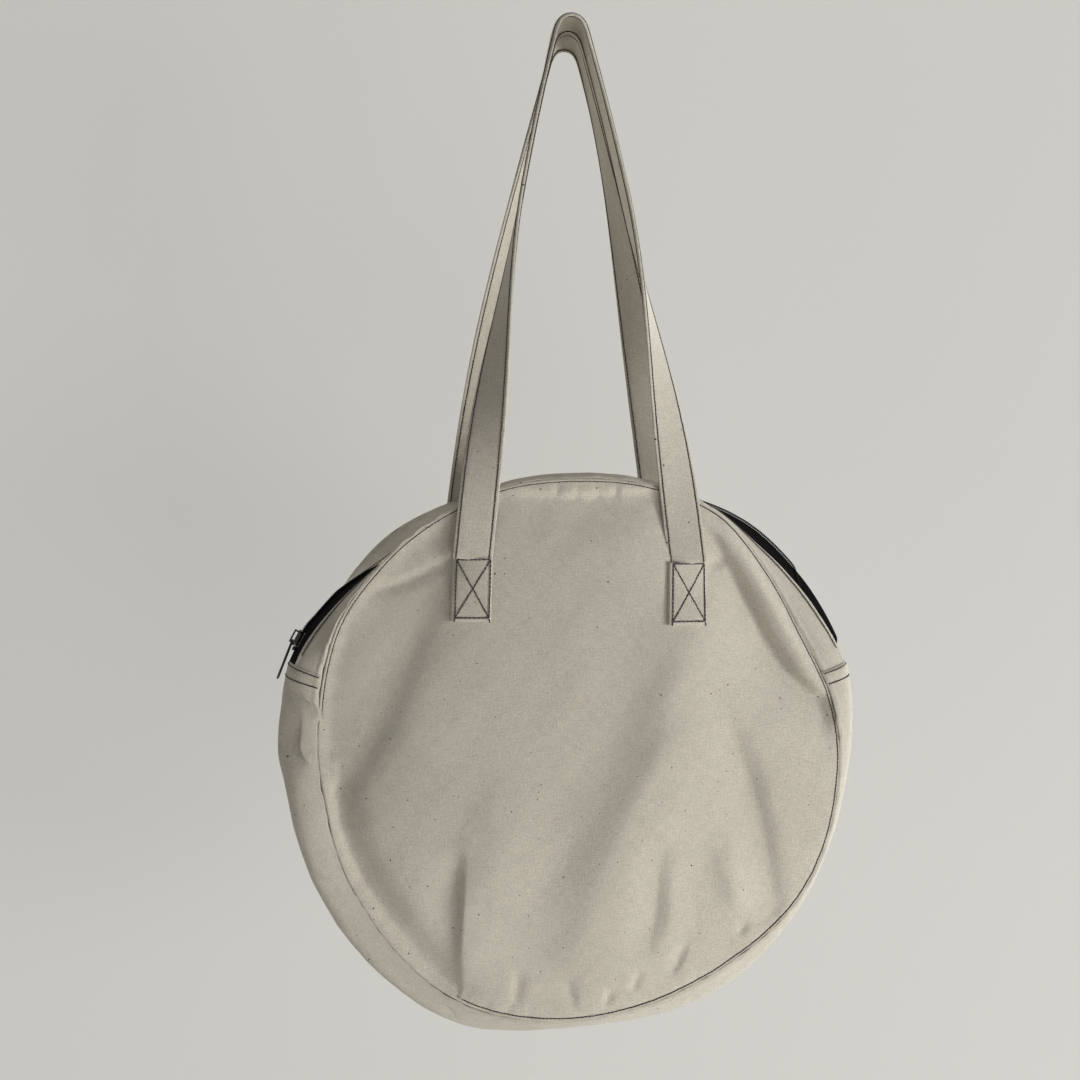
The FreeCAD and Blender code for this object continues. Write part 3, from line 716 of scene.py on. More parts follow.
def makeCanvas():
    material, tree, shader = newMaterial("naturalCanvas")
    spot = clothSpot(tree)
    cloth = addGroup(tree, weaveGroup, {"Vector": spot, "Rib": 1.0})
    tone = remap(tree, addNoise(tree, spot, 9.0, 2.0), 0.3, 0.7)
    colour = addMix(tree, canvasLook["deep"], canvasLook["pale"], tone)
    shades = [remap(tree, cloth["Yarn"], 0.25, 0.75, 0.93, 1.05)]
    for stretch in ((1300, 130, 1), (130, 1300, 1)):
        drawn = addNode(tree, "ShaderNodeMapping", {"Vector": spot, "Scale": stretch}).outputs["Vector"]
        shades.append(remap(tree, addNoise(tree, drawn, 1.0, 2.0), 0.25, 0.75, 0.9, 1.08))
    shades.append(remap(tree, addNoise(tree, spot, 760.0, 1.5), 0.3, 0.7, 0.88, 1.1))
    for shade in shades:
        colour = addMix(tree, colour, shade, 1.0, "MULTIPLY")
    crumbs = addMath(tree, "MULTIPLY", addFlecks(tree, spot, "crumbs"), 0.75)
    colour = addMix(tree, colour, canvasLook["crumb"], crumbs)
    colour = addMix(tree, colour, canvasLook["fleck"], addFlecks(tree, spot, "flecks"))
    crumple = addNoise(tree, spot, 60.0, 3.0, 0.55)
    crumple = addBump(tree, crumple, 0.35, canvasLook["crumpleDepth"])
    setSockets(tree, shader, {
        "Base Color": colour,
        "Roughness": canvasLook["roughness"],
        "Sheen Weight": 0.15,
        "Specular IOR Level": 0.2,
        "Normal": addBump(tree, cloth["Height"], 0.8, canvasLook["weaveDepth"], crumple),
    })
    return material


threadLook = {"dark": (0.012, 0.007, 0.009, 1), "light": (0.034, 0.021, 0.022, 1)}


def makeThread():
    material, tree, shader = newMaterial("darkThread")
    twist = addNoise(tree, objectSpot(tree), 1800.0, 2.0)
    setSockets(tree, shader, {
        "Base Color": addMix(tree, threadLook["dark"], threadLook["light"], twist),
        "Roughness": 0.6,
        "Normal": addBump(tree, twist, 0.5, 0.0001),
    })
    return material


# Darker and lighter colour of each of the zip's finishes
zipLook = {
    "tape": ((0.004, 0.004, 0.0045, 1), (0.0095, 0.009, 0.009, 1)),
    "coil": ((0.005, 0.005, 0.0055, 1), (0.012, 0.012, 0.0125, 1)),
    "metal": ((0.01, 0.01, 0.0105, 1), (0.045, 0.043, 0.041, 1)),
}


def makeTapeCloth():
    material, tree, shader = newMaterial("blackTape")
    cloth = addGroup(tree, weaveGroup, {"Vector": clothSpot(tree), "Rib": 1.3})
    setSockets(tree, shader, {
        "Base Color": addMix(tree, *zipLook["tape"], cloth["Yarn"]),
        "Roughness": 0.95,
        "Specular IOR Level": 0.05,
        "Normal": addBump(tree, cloth["Height"], 0.8, 0.0002),
    })
    return material


def makeCoilNylon():
    material, tree, shader = newMaterial("coilNylon")
    scuff = addNoise(tree, objectSpot(tree), 300.0, 3.0)
    setSockets(tree, shader, {
        "Base Color": addMix(tree, *zipLook["coil"], scuff),
        "Roughness": remap(tree, scuff, 0.0, 1.0, 0.68, 0.85),
        "Specular IOR Level": 0.06,
    })
    return material


def makeZipMetal():
    material, tree, shader = newMaterial("oxidisedMetal")
    wear = addNoise(tree, objectSpot(tree), 420.0, 4.0)
    patch = remap(tree, wear, 0.52, 0.66)
    setSockets(tree, shader, {
        "Base Color": addMix(tree, *zipLook["metal"], patch),
        "Metallic": 0.3,
        "Roughness": remap(tree, patch, 0.0, 1.0, 0.5, 0.3),
        "Normal": addBump(tree, wear, 0.3, 0.0001),
    })
    return material


canvasCloth = makeCanvas()
darkThread = makeThread()
blackTape = makeTapeCloth()
coilNylon = makeCoilNylon()
zipMetal = makeZipMetal()
print("materials made")

# flat and area are the size of the cut cloth, in metres
panelCut = {
    "rings": 92,
    "rimGrain": 0.3,
    "thickness": 0.9,
    "flat": (0.43, 0.43),
    "area": 0.143,
    "nodes": {-1: ("front_panel_lower", "front_panel_upper"), 1: ("back_panel",)},
}


def makePanel(name, side):
    count = 2 * panelCut["rings"]
    obj, u, v = newGrid(name, count, count)
    u = 2 * u - 1
    v = 2 * v - 1
    reach = np.maximum(np.abs(u), np.abs(v))
    wide = np.abs(u) >= np.abs(v)
    safeU = np.where(np.abs(u) < 1e-9, 1e-9, u)
    safeV = np.where(np.abs(v) < 1e-9, 1e-9, v)
    turn = np.where(wide, math.pi / 4 * v / safeU, math.pi / 2 - math.pi / 4 * u / safeV)
    turn = turn + np.where(np.where(wide, u, v) < 0, math.pi, 0)
    angle = 90 - np.degrees(turn)
    left = 1 - reach
    share = 1 - (panelCut["rimGrain"] * left + (1 - panelCut["rimGrain"]) * left**1.6)
    places = onPanel(side, angle, share * ring(rimColumn[side], angle))
    setMesh(obj, places, np.stack((-side * places[:, 0] + 300, places[:, 2] - centreZ + 300), axis=1))
    faceTowards(obj, panelWay(side))
    thicken(obj, panelCut["thickness"])
    finishPiece(obj, canvasCloth)
    return obj


for side, word in sides:
    panel = makePanel(word + "Panel", side)
    rideSide(panel, side)
    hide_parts(*panelCut["nodes"][side])
print("panels made")

gussetCut = {
    "along": 620,
    "across": 44,
    "thickness": 0.9,
    "flat": (0.08, 0.82),
    # A roll beside the seam that dips into the ditch: height, place and width
    "seamEdge": [(0.8, 2.6, 1.8), (-0.4, 0, 0.9)],
    "stepWidth": 28.0,      # mm of cloth from one ring to the next
    "ends": {-1: 71.4, 1: 72.3},
    "endLift": 1.1,
    "endReach": 14.0,
}
tabRows = {"insets": (2.2, 11.2), "margin": 0.015, "dip": 0.4, "edge": (-0.5, 0, 0.8)}


def edgeProfile(angle, across):
    # Lift of the gusset's two sewn edges
    front = profile(across * gussetCut["stepWidth"], gussetCut["seamEdge"])
    back = profile((3 - across) * gussetCut["stepWidth"], gussetCut["seamEdge"])
    return (1 - slackSeam((angle + 180) % 360 - 180)) * front + back


def easeAcross(v):
    # More rows near the two seams
    return v - 0.085 * np.sin(2 * math.pi * v)


def baseLift(angle, endNear, across):
    # The sewn edges and the two folded ends, which lie on the zip strips
    dips = [tabRows["edge"]] + [(-tabRows["dip"], inset, 0.7) for inset in tabRows["insets"]]
    raised = gussetCut["endLift"] * np.exp(-((endNear / gussetCut["endReach"]) ** 4))
    return edgeProfile(angle, across) + raised + profile(endNear, dips)


def makeBaseGusset():
    obj, u, v = newGrid("baseGusset", gussetCut["along"], gussetCut["across"])
    span = 360 - gussetCut["ends"][1] - gussetCut["ends"][-1]
    angle = gussetCut["ends"][1] + u * span
    across = 3 * easeAcross(v)
    endNear = arcLength(np.minimum(u, 1 - u) * span, "zip")
    places = gussetPlace(angle, across, baseLift(angle, endNear, across))[0]
    setMesh(obj, places, np.stack((arcLength(angle, "base"), v * 78), axis=1))
    faceTowards(obj, outWay)
    thicken(obj, gussetCut["thickness"])
    finishPiece(obj, canvasCloth)
    return obj


baseGusset = makeBaseGusset()
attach(baseGusset, "bag")
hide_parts("base_gusset")

stripCut = {
    "along": 420,
    "across": 24,
    "thickness": 0.9,
    "flat": (0.03, 0.57),
    "inset": 4.8,           # from the zip edge to its stitching
    "seamEdge": [(0.8, 2.6, 1.8), (-0.6, 0, 0.9)],
    "zipEdge": [(0.9, 1.6, 1.6), (-1.1, 0, 0.8)],
    "stitchDip": (0.4, 0.7),
}


def makeZipStrip(name, side):
    obj, u, v = newGrid(name, stripCut["along"], stripCut["across"])
    end = bagForm["zipEnd"] + 3.0
    angle = -end + 2 * end * u
    across = v if side < 0 else 3 - v
    toZip = (1 - v) * gussetCut["stepWidth"]
    dip, width = stripCut["stitchDip"]
    lift = profile(v * gussetCut["stepWidth"], stripCut["seamEdge"]) + profile(toZip, stripCut["zipEdge"])
    lift = lift - dip * bump(toZip, stripCut["inset"], width)
    places = gussetPlace(angle, across, lift)[0]
    setMesh(obj, places, np.stack((arcLength(angle, "strip") + 700, v * 30 + side * 40), axis=1))
    faceTowards(obj, outWay)
    thicken(obj, stripCut["thickness"])
    finishPiece(obj, canvasCloth)
    return obj


for side, word in sides:
    strip = makeZipStrip(word + "ZipStrip", side)
    rideSide(strip, side)
    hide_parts(word + "_zip_strip")
print("gusset and zip strips made")

zipLine = {
    "along": 420,
    "across": 26,
    "width": 16.0,
    "thickness": 0.5,
    "cover": (0.45, 0.28),  # share of the tape under the canvas, and its reach there in ring steps
    "drop": 1.6,            # tape below the canvas
    "end": 72.1,            # angle of the tapes' ends
    "teethGap": 0.1,        # half the gap between the two tapes
    "rollAngle": 58.0,
    "rollTop": 235.2,       # radius of the back tape's roll at that angle
    "rollClimb": 0.15,      # and its rise with each degree
    "rollEdges": ((45, 53), (68, 71.5)),
    "rollPlace": (0.28, 0.2),
    "endDip": 3.2,          # teeth below the arc at the right end, clear of the resting pull
    "dipEdges": ((56, 60), (63.2, 65)),
    "parkLeft": (61, 66.5),
    "parkRight": (51, 57),
    "railMiddle": -590.5,   # arc that the slider runs on
    "tapeRail": 236.58,
    "coilEnd": 68.3,
    "coilRadius": 1.15,
    "coilWire": 0.34,
    "coilPitch": 1.45,
    "coilSteps": 10,
    "coilAround": 5,
    "coilSet": (0.85, 0.75),    # above and beside the tape's edge, in radii
    "coilOval": (0.8, 1.2),
}


def railRadius(angle):
    # Radius, about the bag's centre, of the arc that the slider runs on
    turn = np.radians(angle)
    drop = centreZ - zipLine["railMiddle"]
    return -drop * np.cos(turn) + np.sqrt(zipLine["tapeRail"] ** 2 - (drop * np.sin(turn)) ** 2)


def toothLine(angle, side):
    # Place of a tape's inner edge, on the slider's arc at its two parked places
    teeth = np.array(bagForm["teeth"], float)
    parked = np.maximum(rise(-angle, *zipLine["parkLeft"]), rise(angle, *zipLine["parkRight"]))
    radius = np.interp(angle, teeth[:, 0], teeth[:, 1]) * (1 - parked) + railRadius(angle) * parked
    radius = radius - zipLine["endDip"] * within(angle, *zipLine["dipEdges"])
    depth = np.interp(angle, teeth[:, 0], teeth[:, 2]) * (1 - parked)
    return np.stack((radius, depth + side * zipLine["teethGap"]), axis=-1)


def makeTape(name, side):
    obj, u, v = newGrid(name, zipLine["along"], zipLine["across"])
    angle = -zipLine["end"] + 2 * zipLine["end"] * u
    share, reach = zipLine["cover"]
    low = np.array((zipLine["drop"], 0.0))
    edge = sectionPoint(angle, np.full(angle.shape, 1.5 + side * 0.5)) - low
    behind = sectionPoint(angle, np.full(angle.shape, 1.5 + side * (0.5 + reach))) - low
    v1 = np.clip(v / share, 0, 1)[:, None]
    v2 = np.clip((v - share) / (1 - share), 0, 1)[:, None]
    inner = edge * (1 - v2) + toothLine(angle, side) * v2
    point = np.where((v < share)[:, None], behind * (1 - v1) + edge * v1, inner)
    if side > 0:
        # The slack back tape stands up in a roll beside the zip's right end
        crest = zipLine["rollTop"] + zipLine["rollClimb"] * (angle - zipLine["rollAngle"]) - point[:, 0]
        crest = np.maximum(crest, 0) * within(angle, *zipLine["rollEdges"])
        point[:, 0] += crest * bump(v2[:, 0], *zipLine["rollPlace"])
    flat = np.stack((arcLength(angle, "strip"), v * zipLine["width"]), axis=1)
    setMesh(obj, polarPlace(angle, point[:, 0], point[:, 1]), flat)
    faceTowards(obj, outWay)
    thicken(obj, zipLine["thickness"])
    finishPiece(obj, blackTape)
    return obj


for side, word in sides:
    tape = makeTape(word + "ZipTape", side)
    rideSide(tape, side)
    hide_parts(word + "_zip_tape")


def makeCoil(name, side):
    # A wound coil along the tape's inner edge
    span = 2 * zipLine["coilEnd"]
    length = arcLength(span, "zip")
    turns = int(length / zipLine["coilPitch"])
    obj, u, v = newGrid(name, turns * zipLine["coilSteps"], zipLine["coilAround"])
    angle = -span / 2 + span * u
    winding = 2 * math.pi * turns * u + (math.pi if side > 0 else 0)
    radius = zipLine["coilRadius"]
    above, beside = zipLine["coilSet"]
    high, wide = zipLine["coilOval"]
    heart = toothLine(angle, side) + np.array((radius * above, side * radius * beside))
    swing = np.stack((np.sin(winding) * radius * high, np.cos(winding) * radius * wide), axis=1)
    around = 2 * math.pi * v
    wire = zipLine["coilWire"]
    point = heart + swing * (1 + wire * np.cos(around) / radius)[:, None]
    places = polarPlace(angle + np.degrees(wire * np.sin(around) / radii["zip"]), point[:, 0], point[:, 1])
    setMesh(obj, places, np.stack((u * length, v * 2), axis=1))
    weldTube(obj)
    finishPiece(obj, coilNylon)
    return obj


for side, word in sides:
    coil = makeCoil(word + "ZipCoil", side)
    rideSide(coil, side)
    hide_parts(word + "_zip_teeth")

stops = {"angle": 68.85, "length": 3.0, "width": 2.6, "height": 1.9, "bevel": 0.5, "lift": 0.9}


def makeStop(name, angle, tapes):
    bm = bmesh.new()
    turn = math.radians(angle)
    for side in tapes:
        line = toothLine(np.array([angle]), side)[0]
        radius = line[0] + stops["lift"]
        depth = line[1] + side * stops["width"] / 2
        heart = Vector((radius * math.sin(turn), depth, centreZ + radius * math.cos(turn))) / 1000
        spot = Matrix.Translation(heart) @ Matrix.Rotation(turn, 4, "Y")
        size = Matrix.Diagonal((stops["length"] / 1000, stops["width"] / 1000, stops["height"] / 1000, 1))
        bmesh.ops.create_cube(bm, size=1.0, matrix=spot @ size)
    edges = {"segments": 3, "profile": 0.5, "affect": "EDGES", "material": -1}
    bmesh.ops.bevel(bm, geom=bm.edges, offset=stops["bevel"] / 1000, **edges)
    obj = newPiece(name, bm)
    finishPiece(obj, zipMetal)
    return obj


for side, word in sides:
    stop = makeStop(word + "ZipTopStop", -stops["angle"], (side,))
    rideSide(stop, side)
    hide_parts(word + "_zip_top_stop")
endStop = makeStop("zipBottomStop", stops["angle"], (-1, 1))
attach(endStop, "bag")
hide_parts("zip_bottom_stop")
for nodeName in ("zip_slider_body", "zip_pull"):
    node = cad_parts[nodeName]
    node.data.materials.clear()
    node.data.materials.append(zipMetal)
print("zip made")

strapForm = {
    "width": 30.0,
    "thickness": 2.8,
    "middles": {-1: {-1: -75.6, 1: 88.2}, 1: {-1: -86.0, 1: 85.0}},
    "drops": {-1: {-1: 0.0, 1: 3.4}, 1: {-1: 0.0, 1: 0.0}},
    "lean": 0.03,
    "cup": 4.0,
    "cupReach": 0.18,
    "bow": 0.38,            # how far the legs bow out on their way up
    "roundness": (0.35, 0.55),
    "foldZ": -418.0,
    "endLow": -464.0,
    "endTop": -416.8,
    "turnRadius": 13.5,
    "turnY": 16.0,
    "turnZ": -12.0,
    "twistShares": {-1: 0.7, 1: 1.0},
    "legSteps": 110,
    "turnSteps": 24,
    "around": 20,
    "easing": 14,           # rounds that ease the turn into the legs
    "stitchInset": 2.6,
    "stitchDip": 0.18,
    "foldRun": 0.05,        # metres over which a strap folds
}


def strapEndDepth(side, x, z, lift):
    return panelDepth(side, x, z) + side * lift


def legPlace(side, leg, share):
    # Middle of a strap's leg from its fold (share 0) to the turn (share 1)
    startX = strapForm["middles"][side][leg]
    startZ = strapForm["foldZ"] - strapForm["drops"][side][leg]
    lift = strapForm["thickness"] / 2
    startY = float(strapEndDepth(side, np.array([startX]), np.array([startZ]), lift)[0])
    moved = (1 - strapForm["bow"]) * share + strapForm["bow"] * share * share
    x = startX + (leg * strapForm["turnRadius"] - startX) * moved
    y = startY + (side * strapForm["turnY"] - startY) * rise(share, 0, 1)
    z = startZ + (strapForm["turnZ"] - startZ) * share
    return np.stack((x, y, z), axis=-1)


def strapFrames(side):
    # Places, directions and faces along a strap, from its left fold over the top to its right fold
    share = np.linspace(0, 1, strapForm["legSteps"] + 1)
    left = legPlace(side, -1, share)
    right = legPlace(side, 1, share[::-1])
    turn = np.radians(np.linspace(180, 0, strapForm["turnSteps"] + 1))[1:-1]
    archX = strapForm["turnRadius"] * np.cos(turn)
    archZ = strapForm["turnZ"] + strapForm["turnRadius"] * np.sin(turn)
    arch = np.stack((archX, np.full(turn.shape, side * strapForm["turnY"]), archZ), axis=1)
    line = np.concatenate((left, arch, right))
    for count in range(strapForm["easing"]):
        line[1:-1] = line[1:-1] / 2 + (line[:-2] + line[2:]) / 4
    along = np.gradient(line, axis=0)
    along /= np.linalg.norm(along, axis=1, keepdims=True)
    twist = share / strapForm["twistShares"][side]
    twist = math.pi / 2 * rise(twist, 0, 1)
    leftFace = np.stack((-np.sin(twist), side * np.cos(twist), np.zeros(twist.shape)), axis=1)
    archFace = np.stack((np.cos(turn), np.zeros(turn.shape), np.sin(turn)), axis=1)
    rightFace = (leftFace * np.array((-1, 1, 1)))[::-1]
    face = np.concatenate((leftFace, archFace, rightFace))
    face -= along * np.sum(face * along, axis=1, keepdims=True)
    face /= np.linalg.norm(face, axis=1, keepdims=True)
    return line, along, face


def strapSection(v):
    # Offset across the width and through the thickness round a flat strap's rounded section
    half = strapForm["width"] / 2
    thick = strapForm["thickness"] / 2
    turn = 2 * math.pi * v
    wide, deep = strapForm["roundness"]
    across = np.sign(np.cos(turn)) * np.abs(np.cos(turn)) ** wide * half
    through = np.sign(np.sin(turn)) * np.abs(np.sin(turn)) ** deep * thick
    return across, through


def makeStrapLoop(name, side):
    line, along, face = strapFrames(side)
    count = len(line) - 1
    obj, u, v = newGrid(name, count, strapForm["around"] * 2)
    index = np.rint(u * count).astype(int)
    across, through = strapSection(v)
    inset = strapForm["width"] / 2 - strapForm["stitchInset"]
    through = through * (1 - strapForm["stitchDip"] * bump(np.abs(across), inset, 1.0))
    sideways = np.cross(along, face)
    cupped = strapForm["cup"] * bump(np.linspace(-1, 1, count + 1), 0, strapForm["cupReach"])
    through = through - cupped[index] * np.abs(across / strapForm["width"] * 2) ** 3
    places = line[index] + sideways[index] * across[:, None] + face[index] * through[:, None]
    run = runAlong(line)
    setMesh(obj, places, np.stack((across + through * 0.5 + 80 * side, run[index]), axis=1))
    weldTube(obj)
    finishPiece(obj, canvasCloth)
    return obj


def foldStrap(obj, side):
    if side < 0:
        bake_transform(obj)
    else:
        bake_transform(obj)


for side, word in sides:
    loop = makeStrapLoop(word + "StrapLoop", side)
    foldStrap(loop, side)
    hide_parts(word + "_strap_loop")


def strapEndX(side, leg, z):
    # Middle line of a sewn strap end, which leans a little
    low = np.minimum(z - strapForm["foldZ"] + strapForm["drops"][side][leg], 0)
    return strapForm["middles"][side][leg] + strapForm["lean"] * low


def makeStrapEnd(name, side, leg):
    # The sewn end of a strap, a patch with turned edges lying on the panel
    obj, u, v = newGrid(name, 30, 40)
    u = u - 0.5
    half = strapForm["width"] / 2
    height = strapForm["endTop"] - strapForm["endLow"]
    z = strapForm["endLow"] - strapForm["drops"][side][leg] + height * np.clip((v - 0.06) / 0.94, 0, 1)
    aside = np.sign(u) * half * np.minimum(1, np.abs(u) * 2.25)
    x = strapEndX(side, leg, z) + aside
    skirt = np.maximum(rise(np.abs(u), 0.435, 0.5), rise(1 - v, 0.93, 1.0))
    edge = np.minimum(half - np.abs(aside), z - z.min())
    lift = strapForm["thickness"] - 0.5 * np.exp(-(edge / 0.9) ** 2) - 0.35 * bump(edge, 3, 0.8)
    lift = lift * (1 - skirt) - 0.3 * skirt
    places = np.stack((x, strapEndDepth(side, x, z, lift), z), axis=1)
    setMesh(obj, places, np.stack((aside + 80 * side, z), axis=1))
    faceTowards(obj, panelWay(side))
    finishPiece(obj, canvasCloth)
    return obj


for side, word in sides:
    for leg, hand in ((-1, "Left"), (1, "Right")):
        patch = makeStrapEnd(word + "StrapEnd" + hand, side, leg)
        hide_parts(word + "_strap_end_" + hand.lower())
        rideSide(patch, side)
print("straps made")

stitch = {
    "length": 3.0,
    "gap": -0.06,
    "radius": 0.58,
    "flat": 0.75,
    "stand": 0.35,          # height of a thread's middle over the cloth, in radii
    "vary": (0.92, 1.05),
    "wander": 0.1,
}


def makeStitch():
    bm = bmesh.new()
    bmesh.ops.create_uvsphere(bm, u_segments=6, v_segments=5, radius=1.0)
    for face in bm.faces:
        face.smooth = True
    for vert in bm.verts:
        # Blunter ends than a ball has
        if 0.5 < abs(vert.co.z) < 0.95:
            vert.co = Vector((vert.co.x * 1.5, vert.co.y * 1.5, vert.co.z * 1.1))
    mesh = bpy.data.meshes.new("oneStitch")
    bm.to_mesh(mesh)
    bm.free()
    return mesh


stitchMesh = makeStitch()


def sewnAlong(row, draw):
    # Middle, three directions and half length of each short thread along a line of places
    line = row["line"]
    run = runAlong(line)
    count = max(1, int(run[-1] / (stitch["length"] + stitch["gap"])))
    starts = (np.arange(count) + 0.5) * run[-1] / count
    half = stitch["length"] / 2 * draw.uniform(*stitch["vary"], count)

    def at(spots, values):
        return np.stack([np.interp(spots, run, values[:, axis]) for axis in range(3)], axis=1)

    first = at(starts - half, line)
    second = at(starts + half, line)
    up = at(starts, row["normal"])
    way = second - first
    reach = np.linalg.norm(way, axis=1, keepdims=True)
    way = way / reach
    beside = np.cross(way, up)
    beside /= np.linalg.norm(beside, axis=1, keepdims=True)
    up = np.cross(beside, way)
    heart = (first + second) / 2 + up * (stitch["radius"] * stitch["stand"])
    heart = heart + beside * draw.uniform(-stitch["wander"], stitch["wander"], (count, 1))
    return heart, beside, up, way, reach / 2


def sewPiece(name, rows, seed):
    draw = np.random.default_rng(seed)
    parts = [sewnAlong(row, draw) for row in rows]
    heart, beside, up, way, reach = [np.concatenate(group) for group in zip(*parts)]
    bm = bmesh.new()
    for copy in range(len(heart)):
        bm.from_mesh(stitchMesh)
    obj = newPiece(name, bm)
    shape = np.array([vert.co for vert in stitchMesh.vertices])[None]
    places = heart[:, None] + beside[:, None] * shape[..., :1] * stitch["radius"]
    places = places + up[:, None] * shape[..., 1:2] * stitch["radius"] * stitch["flat"]
    places = places + way[:, None] * shape[..., 2:] * reach[:, None]
    obj.data.vertices.foreach_set("co", (places / 1000.0).astype(np.float32).ravel())
    obj.data.update()
    finishPiece(obj, darkThread)
    return obj


def seamRow(side):
    angle = np.linspace(-180, 180, 1440)
    line = onPanel(side, angle, ring(rimColumn[side], angle) - stitchInset(side, angle))
    if side < 0:
        # The thread lies deep in the cloth on the slack left side
        line[:, 1] += seamForm["slackSink"] * slackSeam(angle)
    return {"line": line, "normal": np.tile((0.0, float(side), 0.0), (len(line), 1))}


for side, word in sides:
    sewn = sewPiece(word + "SeamStitching", [seamRow(side)], 31 + (side > 0))
    rideSide(sewn, side)
    if side < 0:
        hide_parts("front_seam_stitching_lower", "front_seam_stitching_upper")
    else:
        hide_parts("back_seam_stitching")


def zipEdgeRow(side):
    end = bagForm["zipEnd"] - 1.0
    angle = np.linspace(-end, end, 600)
    share = 1 - stripCut["inset"] / gussetCut["stepWidth"]
    across = np.full(angle.shape, share if side < 0 else 3 - share)
    line, normal = gussetPlace(angle, across, np.full(angle.shape, 0.5))
    return {"line": line, "normal": normal}


for side, word in sides:
    sewn = sewPiece(word + "ZipStitching", [zipEdgeRow(side)], 33 + (side > 0))
    rideSide(sewn, side)
    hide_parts(word + "_zip_edge_stitching")


def tabRow(hand, inset):
    across = np.linspace(3 * tabRows["margin"], 3 - 3 * tabRows["margin"], 60)
    angle = np.full(across.shape, hand * (gussetCut["ends"][hand] + math.degrees(inset / radii["zip"])))
    lift = baseLift(angle, np.full(across.shape, inset), across) + 0.25
    line, normal = gussetPlace(angle, across, lift)
    return {"line": line, "normal": normal}


tabLines = [tabRow(hand, inset) for hand in (-1, 1) for inset in tabRows["insets"]]
tabStitching = sewPiece("gussetEndStitching", tabLines, 35)
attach(tabStitching, "bag")
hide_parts("gusset_end_stitching")

boxForm = {"insideLeft": 3.2, "insideRight": 1.3, "insideLow": 2.8, "tail": 3.5}


def boxRows(side):
    rows = []
    left = boxForm["insideLeft"] - strapForm["width"] / 2
    right = strapForm["width"] / 2 - boxForm["insideRight"]
    tail = boxForm["tail"]
    for leg in (-1, 1):
        low = strapForm["endLow"] - strapForm["drops"][side][leg] + boxForm["insideLow"]
        high = strapForm["endTop"] - strapForm["drops"][side][leg] - 1.0
        corners = [(left, low), (right, low), (right, high), (left, high)]
        lines = [(corners[a], corners[b]) for a, b in ((0, 1), (1, 2), (2, 3), (3, 0), (0, 2), (1, 3))]
        lines.append((corners[0], (left - 0.5, low - tail)))
        lines.append((corners[1], (right + 0.6, low - tail * 1.2)))
        lines.append((corners[3], (left + tail, high + 1.0)))
        for first, second in lines:
            z = np.linspace(first[1], second[1], 30)
            x = strapEndX(side, leg, z) + np.linspace(first[0], second[0], 30)
            y = strapEndDepth(side, x, z, strapForm["thickness"])
            line = np.stack((x, y, z), axis=1)
            rows.append({"line": line, "normal": np.tile((0.0, float(side), 0.0), (30, 1))})
    return rows


for side, word in sides:
    sewn = sewPiece(word + "StrapBoxStitching", boxRows(side), 36 + (side > 0))
    rideSide(sewn, side)
    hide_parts(word + "_strap_box_stitching")


def strapRows(side):
    line, along, face = strapFrames(side)
    sideways = np.cross(along, face)
    rows = []
    inset = strapForm["width"] / 2 - strapForm["stitchInset"]
    cupped = strapForm["cup"] * bump(np.linspace(-1, 1, len(line)), 0, strapForm["cupReach"])
    cupped = cupped * (2 * inset / strapForm["width"]) ** 3
    for edge in (-1, 1):
        for cover in (-1, 1):
            lift = (cover * strapForm["thickness"] / 2 * 0.8 - cupped)[:, None]
            rows.append({"line": line + sideways * edge * inset + face * lift, "normal": face * cover})
    return rows


for side, word in sides:
    sewn = sewPiece(word + "StrapStitching", strapRows(side), 38 + (side > 0))
    foldStrap(sewn, side)
    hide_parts(word + "_strap_stitching")
print("stitching made")

studio = {
    "wallY": 0.3,
    "bend": 0.25,
    "floorZ": -3.4,
    "floorRun": 30.0,
    "wallRun": 5.5,
    "halfWidth": 30.0,
    "evenness": 0.7,            # share of the backdrop's own colour in what the camera sees of the sweep
    "middle": (0, 0.3, -0.6),   # from here the sweep grows even, from near to far
    "near": 1.5,
    "far": 4.0,
    "wall": (0.5, 0.488, 0.453, 1),
    "world": (0.95, 0.97, 1.0, 1),
    "worldStrength": 0.14,
    "backdrop": (0.62, 0.61, 0.575, 1),
    # Name, place, aim, size, power, colour
    "lamps": [
        ("windowLight", (2.3, -1.4, -0.85), (0, 0, -0.6), 0.9, 64, (0.985, 0.99, 1.0)),
        ("lowFill", (0.8, -1.1, -1.6), (0, 0, -0.7), 0.8, 15, (0.985, 0.99, 1.0)),
        ("frontFill", (0.0, -3.6, -0.9), (0, 0, -0.6), 2.2, 7, (1.0, 0.97, 0.92)),
        ("leftBounce", (-2.2, -1.4, -1.4), (0, 0, -0.6), 1.6, 17, (1.0, 0.98, 0.95)),
        ("topFill", (0.3, 0.1, 1.0), (0, 0, -0.5), 0.9, 10, (1.0, 0.99, 0.97)),
        ("backFill", (2.2, 2.0, -0.6), (0, 0, -0.55), 1.4, 85, (0.985, 0.99, 1.0)),
        ("backSoft", (-1.2, 2.6, -0.9), (0, 0, -0.55), 1.8, 30, (0.99, 0.99, 1.0)),
    ],
}


def seenRay(tree):
    # 1 for what the camera, reflections and glass see
    ray = tree.nodes.new("ShaderNodeLightPath").outputs
    shown = addMath(tree, "MAXIMUM", ray["Is Camera Ray"], ray["Is Glossy Ray"])
    return addMath(tree, "MAXIMUM", shown, ray["Is Transmission Ray"])


def mixShaders(tree, factor, first, second):
    return addNode(tree, "ShaderNodeMixShader", {0: factor, 1: first, 2: second}).outputs[0]


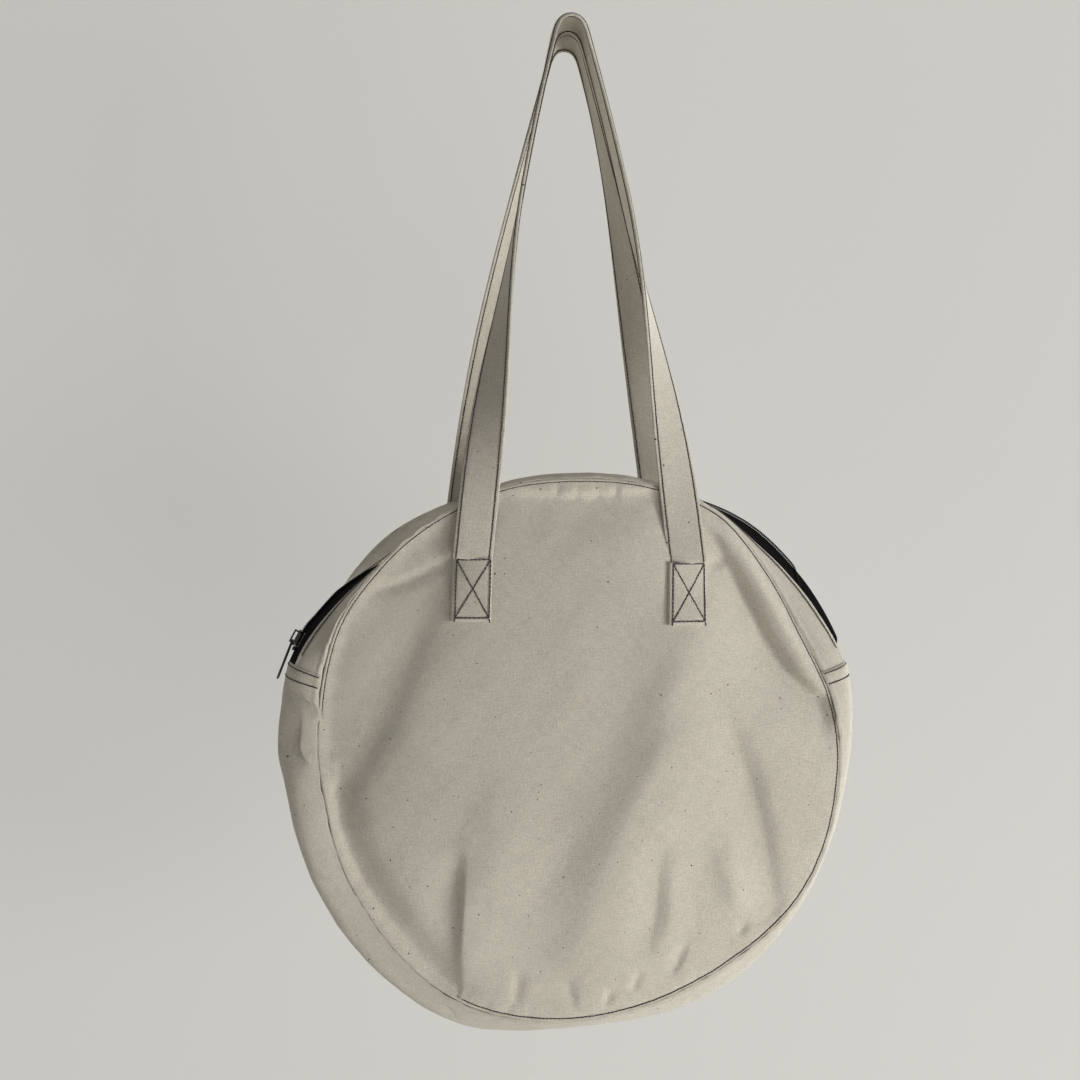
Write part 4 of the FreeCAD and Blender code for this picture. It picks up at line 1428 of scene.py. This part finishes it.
def makeStage():
    # A floor that sweeps up into a wall behind
    obj, u, v = newGrid("paleSweep", 2, 400)
    bend = studio["bend"]
    quarter = bend * math.pi / 2
    floorRun = studio["floorRun"]
    run = v * (floorRun + quarter + studio["wallRun"])
    turn = np.clip((run - floorRun) / bend, 0, math.pi / 2)
    y = studio["wallY"] - bend - floorRun + np.minimum(run, floorRun) + bend * np.sin(turn)
    z = studio["floorZ"] + bend * (1 - np.cos(turn)) + np.maximum(run - floorRun - quarter, 0)
    x = (u * 2 - 1) * studio["halfWidth"]
    setMesh(obj, np.stack((x, y, z), axis=1) * 1000, np.stack((u, v), axis=1))
    faceTowards(obj, lambda point: Vector((0, -1, 1)))
    material, tree, shader = newMaterial("palePlaster")
    setSockets(tree, shader, {"Base Color": studio["wall"], "Roughness": 0.95})
    spot = tree.nodes.new("ShaderNodeNewGeometry").outputs
    ends = {0: spot["Position"], 1: studio["middle"]}
    gone = addNode(tree, "ShaderNodeVectorMath", ends, {"operation": "DISTANCE"}).outputs["Value"]
    evenness = remap(tree, gone, studio["near"], studio["far"], studio["evenness"], 1.0)
    plain = addNode(tree, "ShaderNodeEmission", {"Color": studio["backdrop"], "Strength": 1.0}).outputs[0]
    share = addMath(tree, "MULTIPLY", seenRay(tree), evenness)
    sweep = mixShaders(tree, share, shader.outputs[0], plain)
    # Clear from behind and to shadow rays
    clear = tree.nodes.new("ShaderNodeBsdfTransparent").outputs[0]
    shadow = tree.nodes.new("ShaderNodeLightPath").outputs["Is Shadow Ray"]
    hidden = addMath(tree, "MAXIMUM", spot["Backfacing"], shadow)
    sweep = mixShaders(tree, hidden, sweep, clear)
    tree.links.new(sweep, tree.nodes["Material Output"].inputs["Surface"])
    obj.data.materials.append(material)


def makeLights():
    for name, place, aim, size, power, colour in studio["lamps"]:
        data = bpy.data.lights.new(name, "AREA")
        data.size = size
        data.energy = power
        data.color = colour
        obj = bpy.data.objects.new(name, data)
        obj.location = place
        obj.rotation_euler = (Vector(aim) - Vector(place)).to_track_quat("-Z", "Y").to_euler()
        bpy.context.scene.collection.objects.link(obj)
    world = bpy.data.worlds.new("softRoom")
    bpy.context.scene.world = world
    world.use_nodes = True
    tree = world.node_tree
    light = tree.nodes["Background"]
    setSockets(tree, light, {"Color": studio["world"], "Strength": studio["worldStrength"]})
    seen = addNode(tree, "ShaderNodeBackground", {"Color": studio["backdrop"], "Strength": 1.0})
    mixed = mixShaders(tree, seenRay(tree), light.outputs[0], seen.outputs[0])
    tree.links.new(mixed, tree.nodes["World Output"].inputs["Surface"])
    bpy.context.scene.view_settings.view_transform = "Standard"


makeStage()
makeLights()
print("stage and lights made")
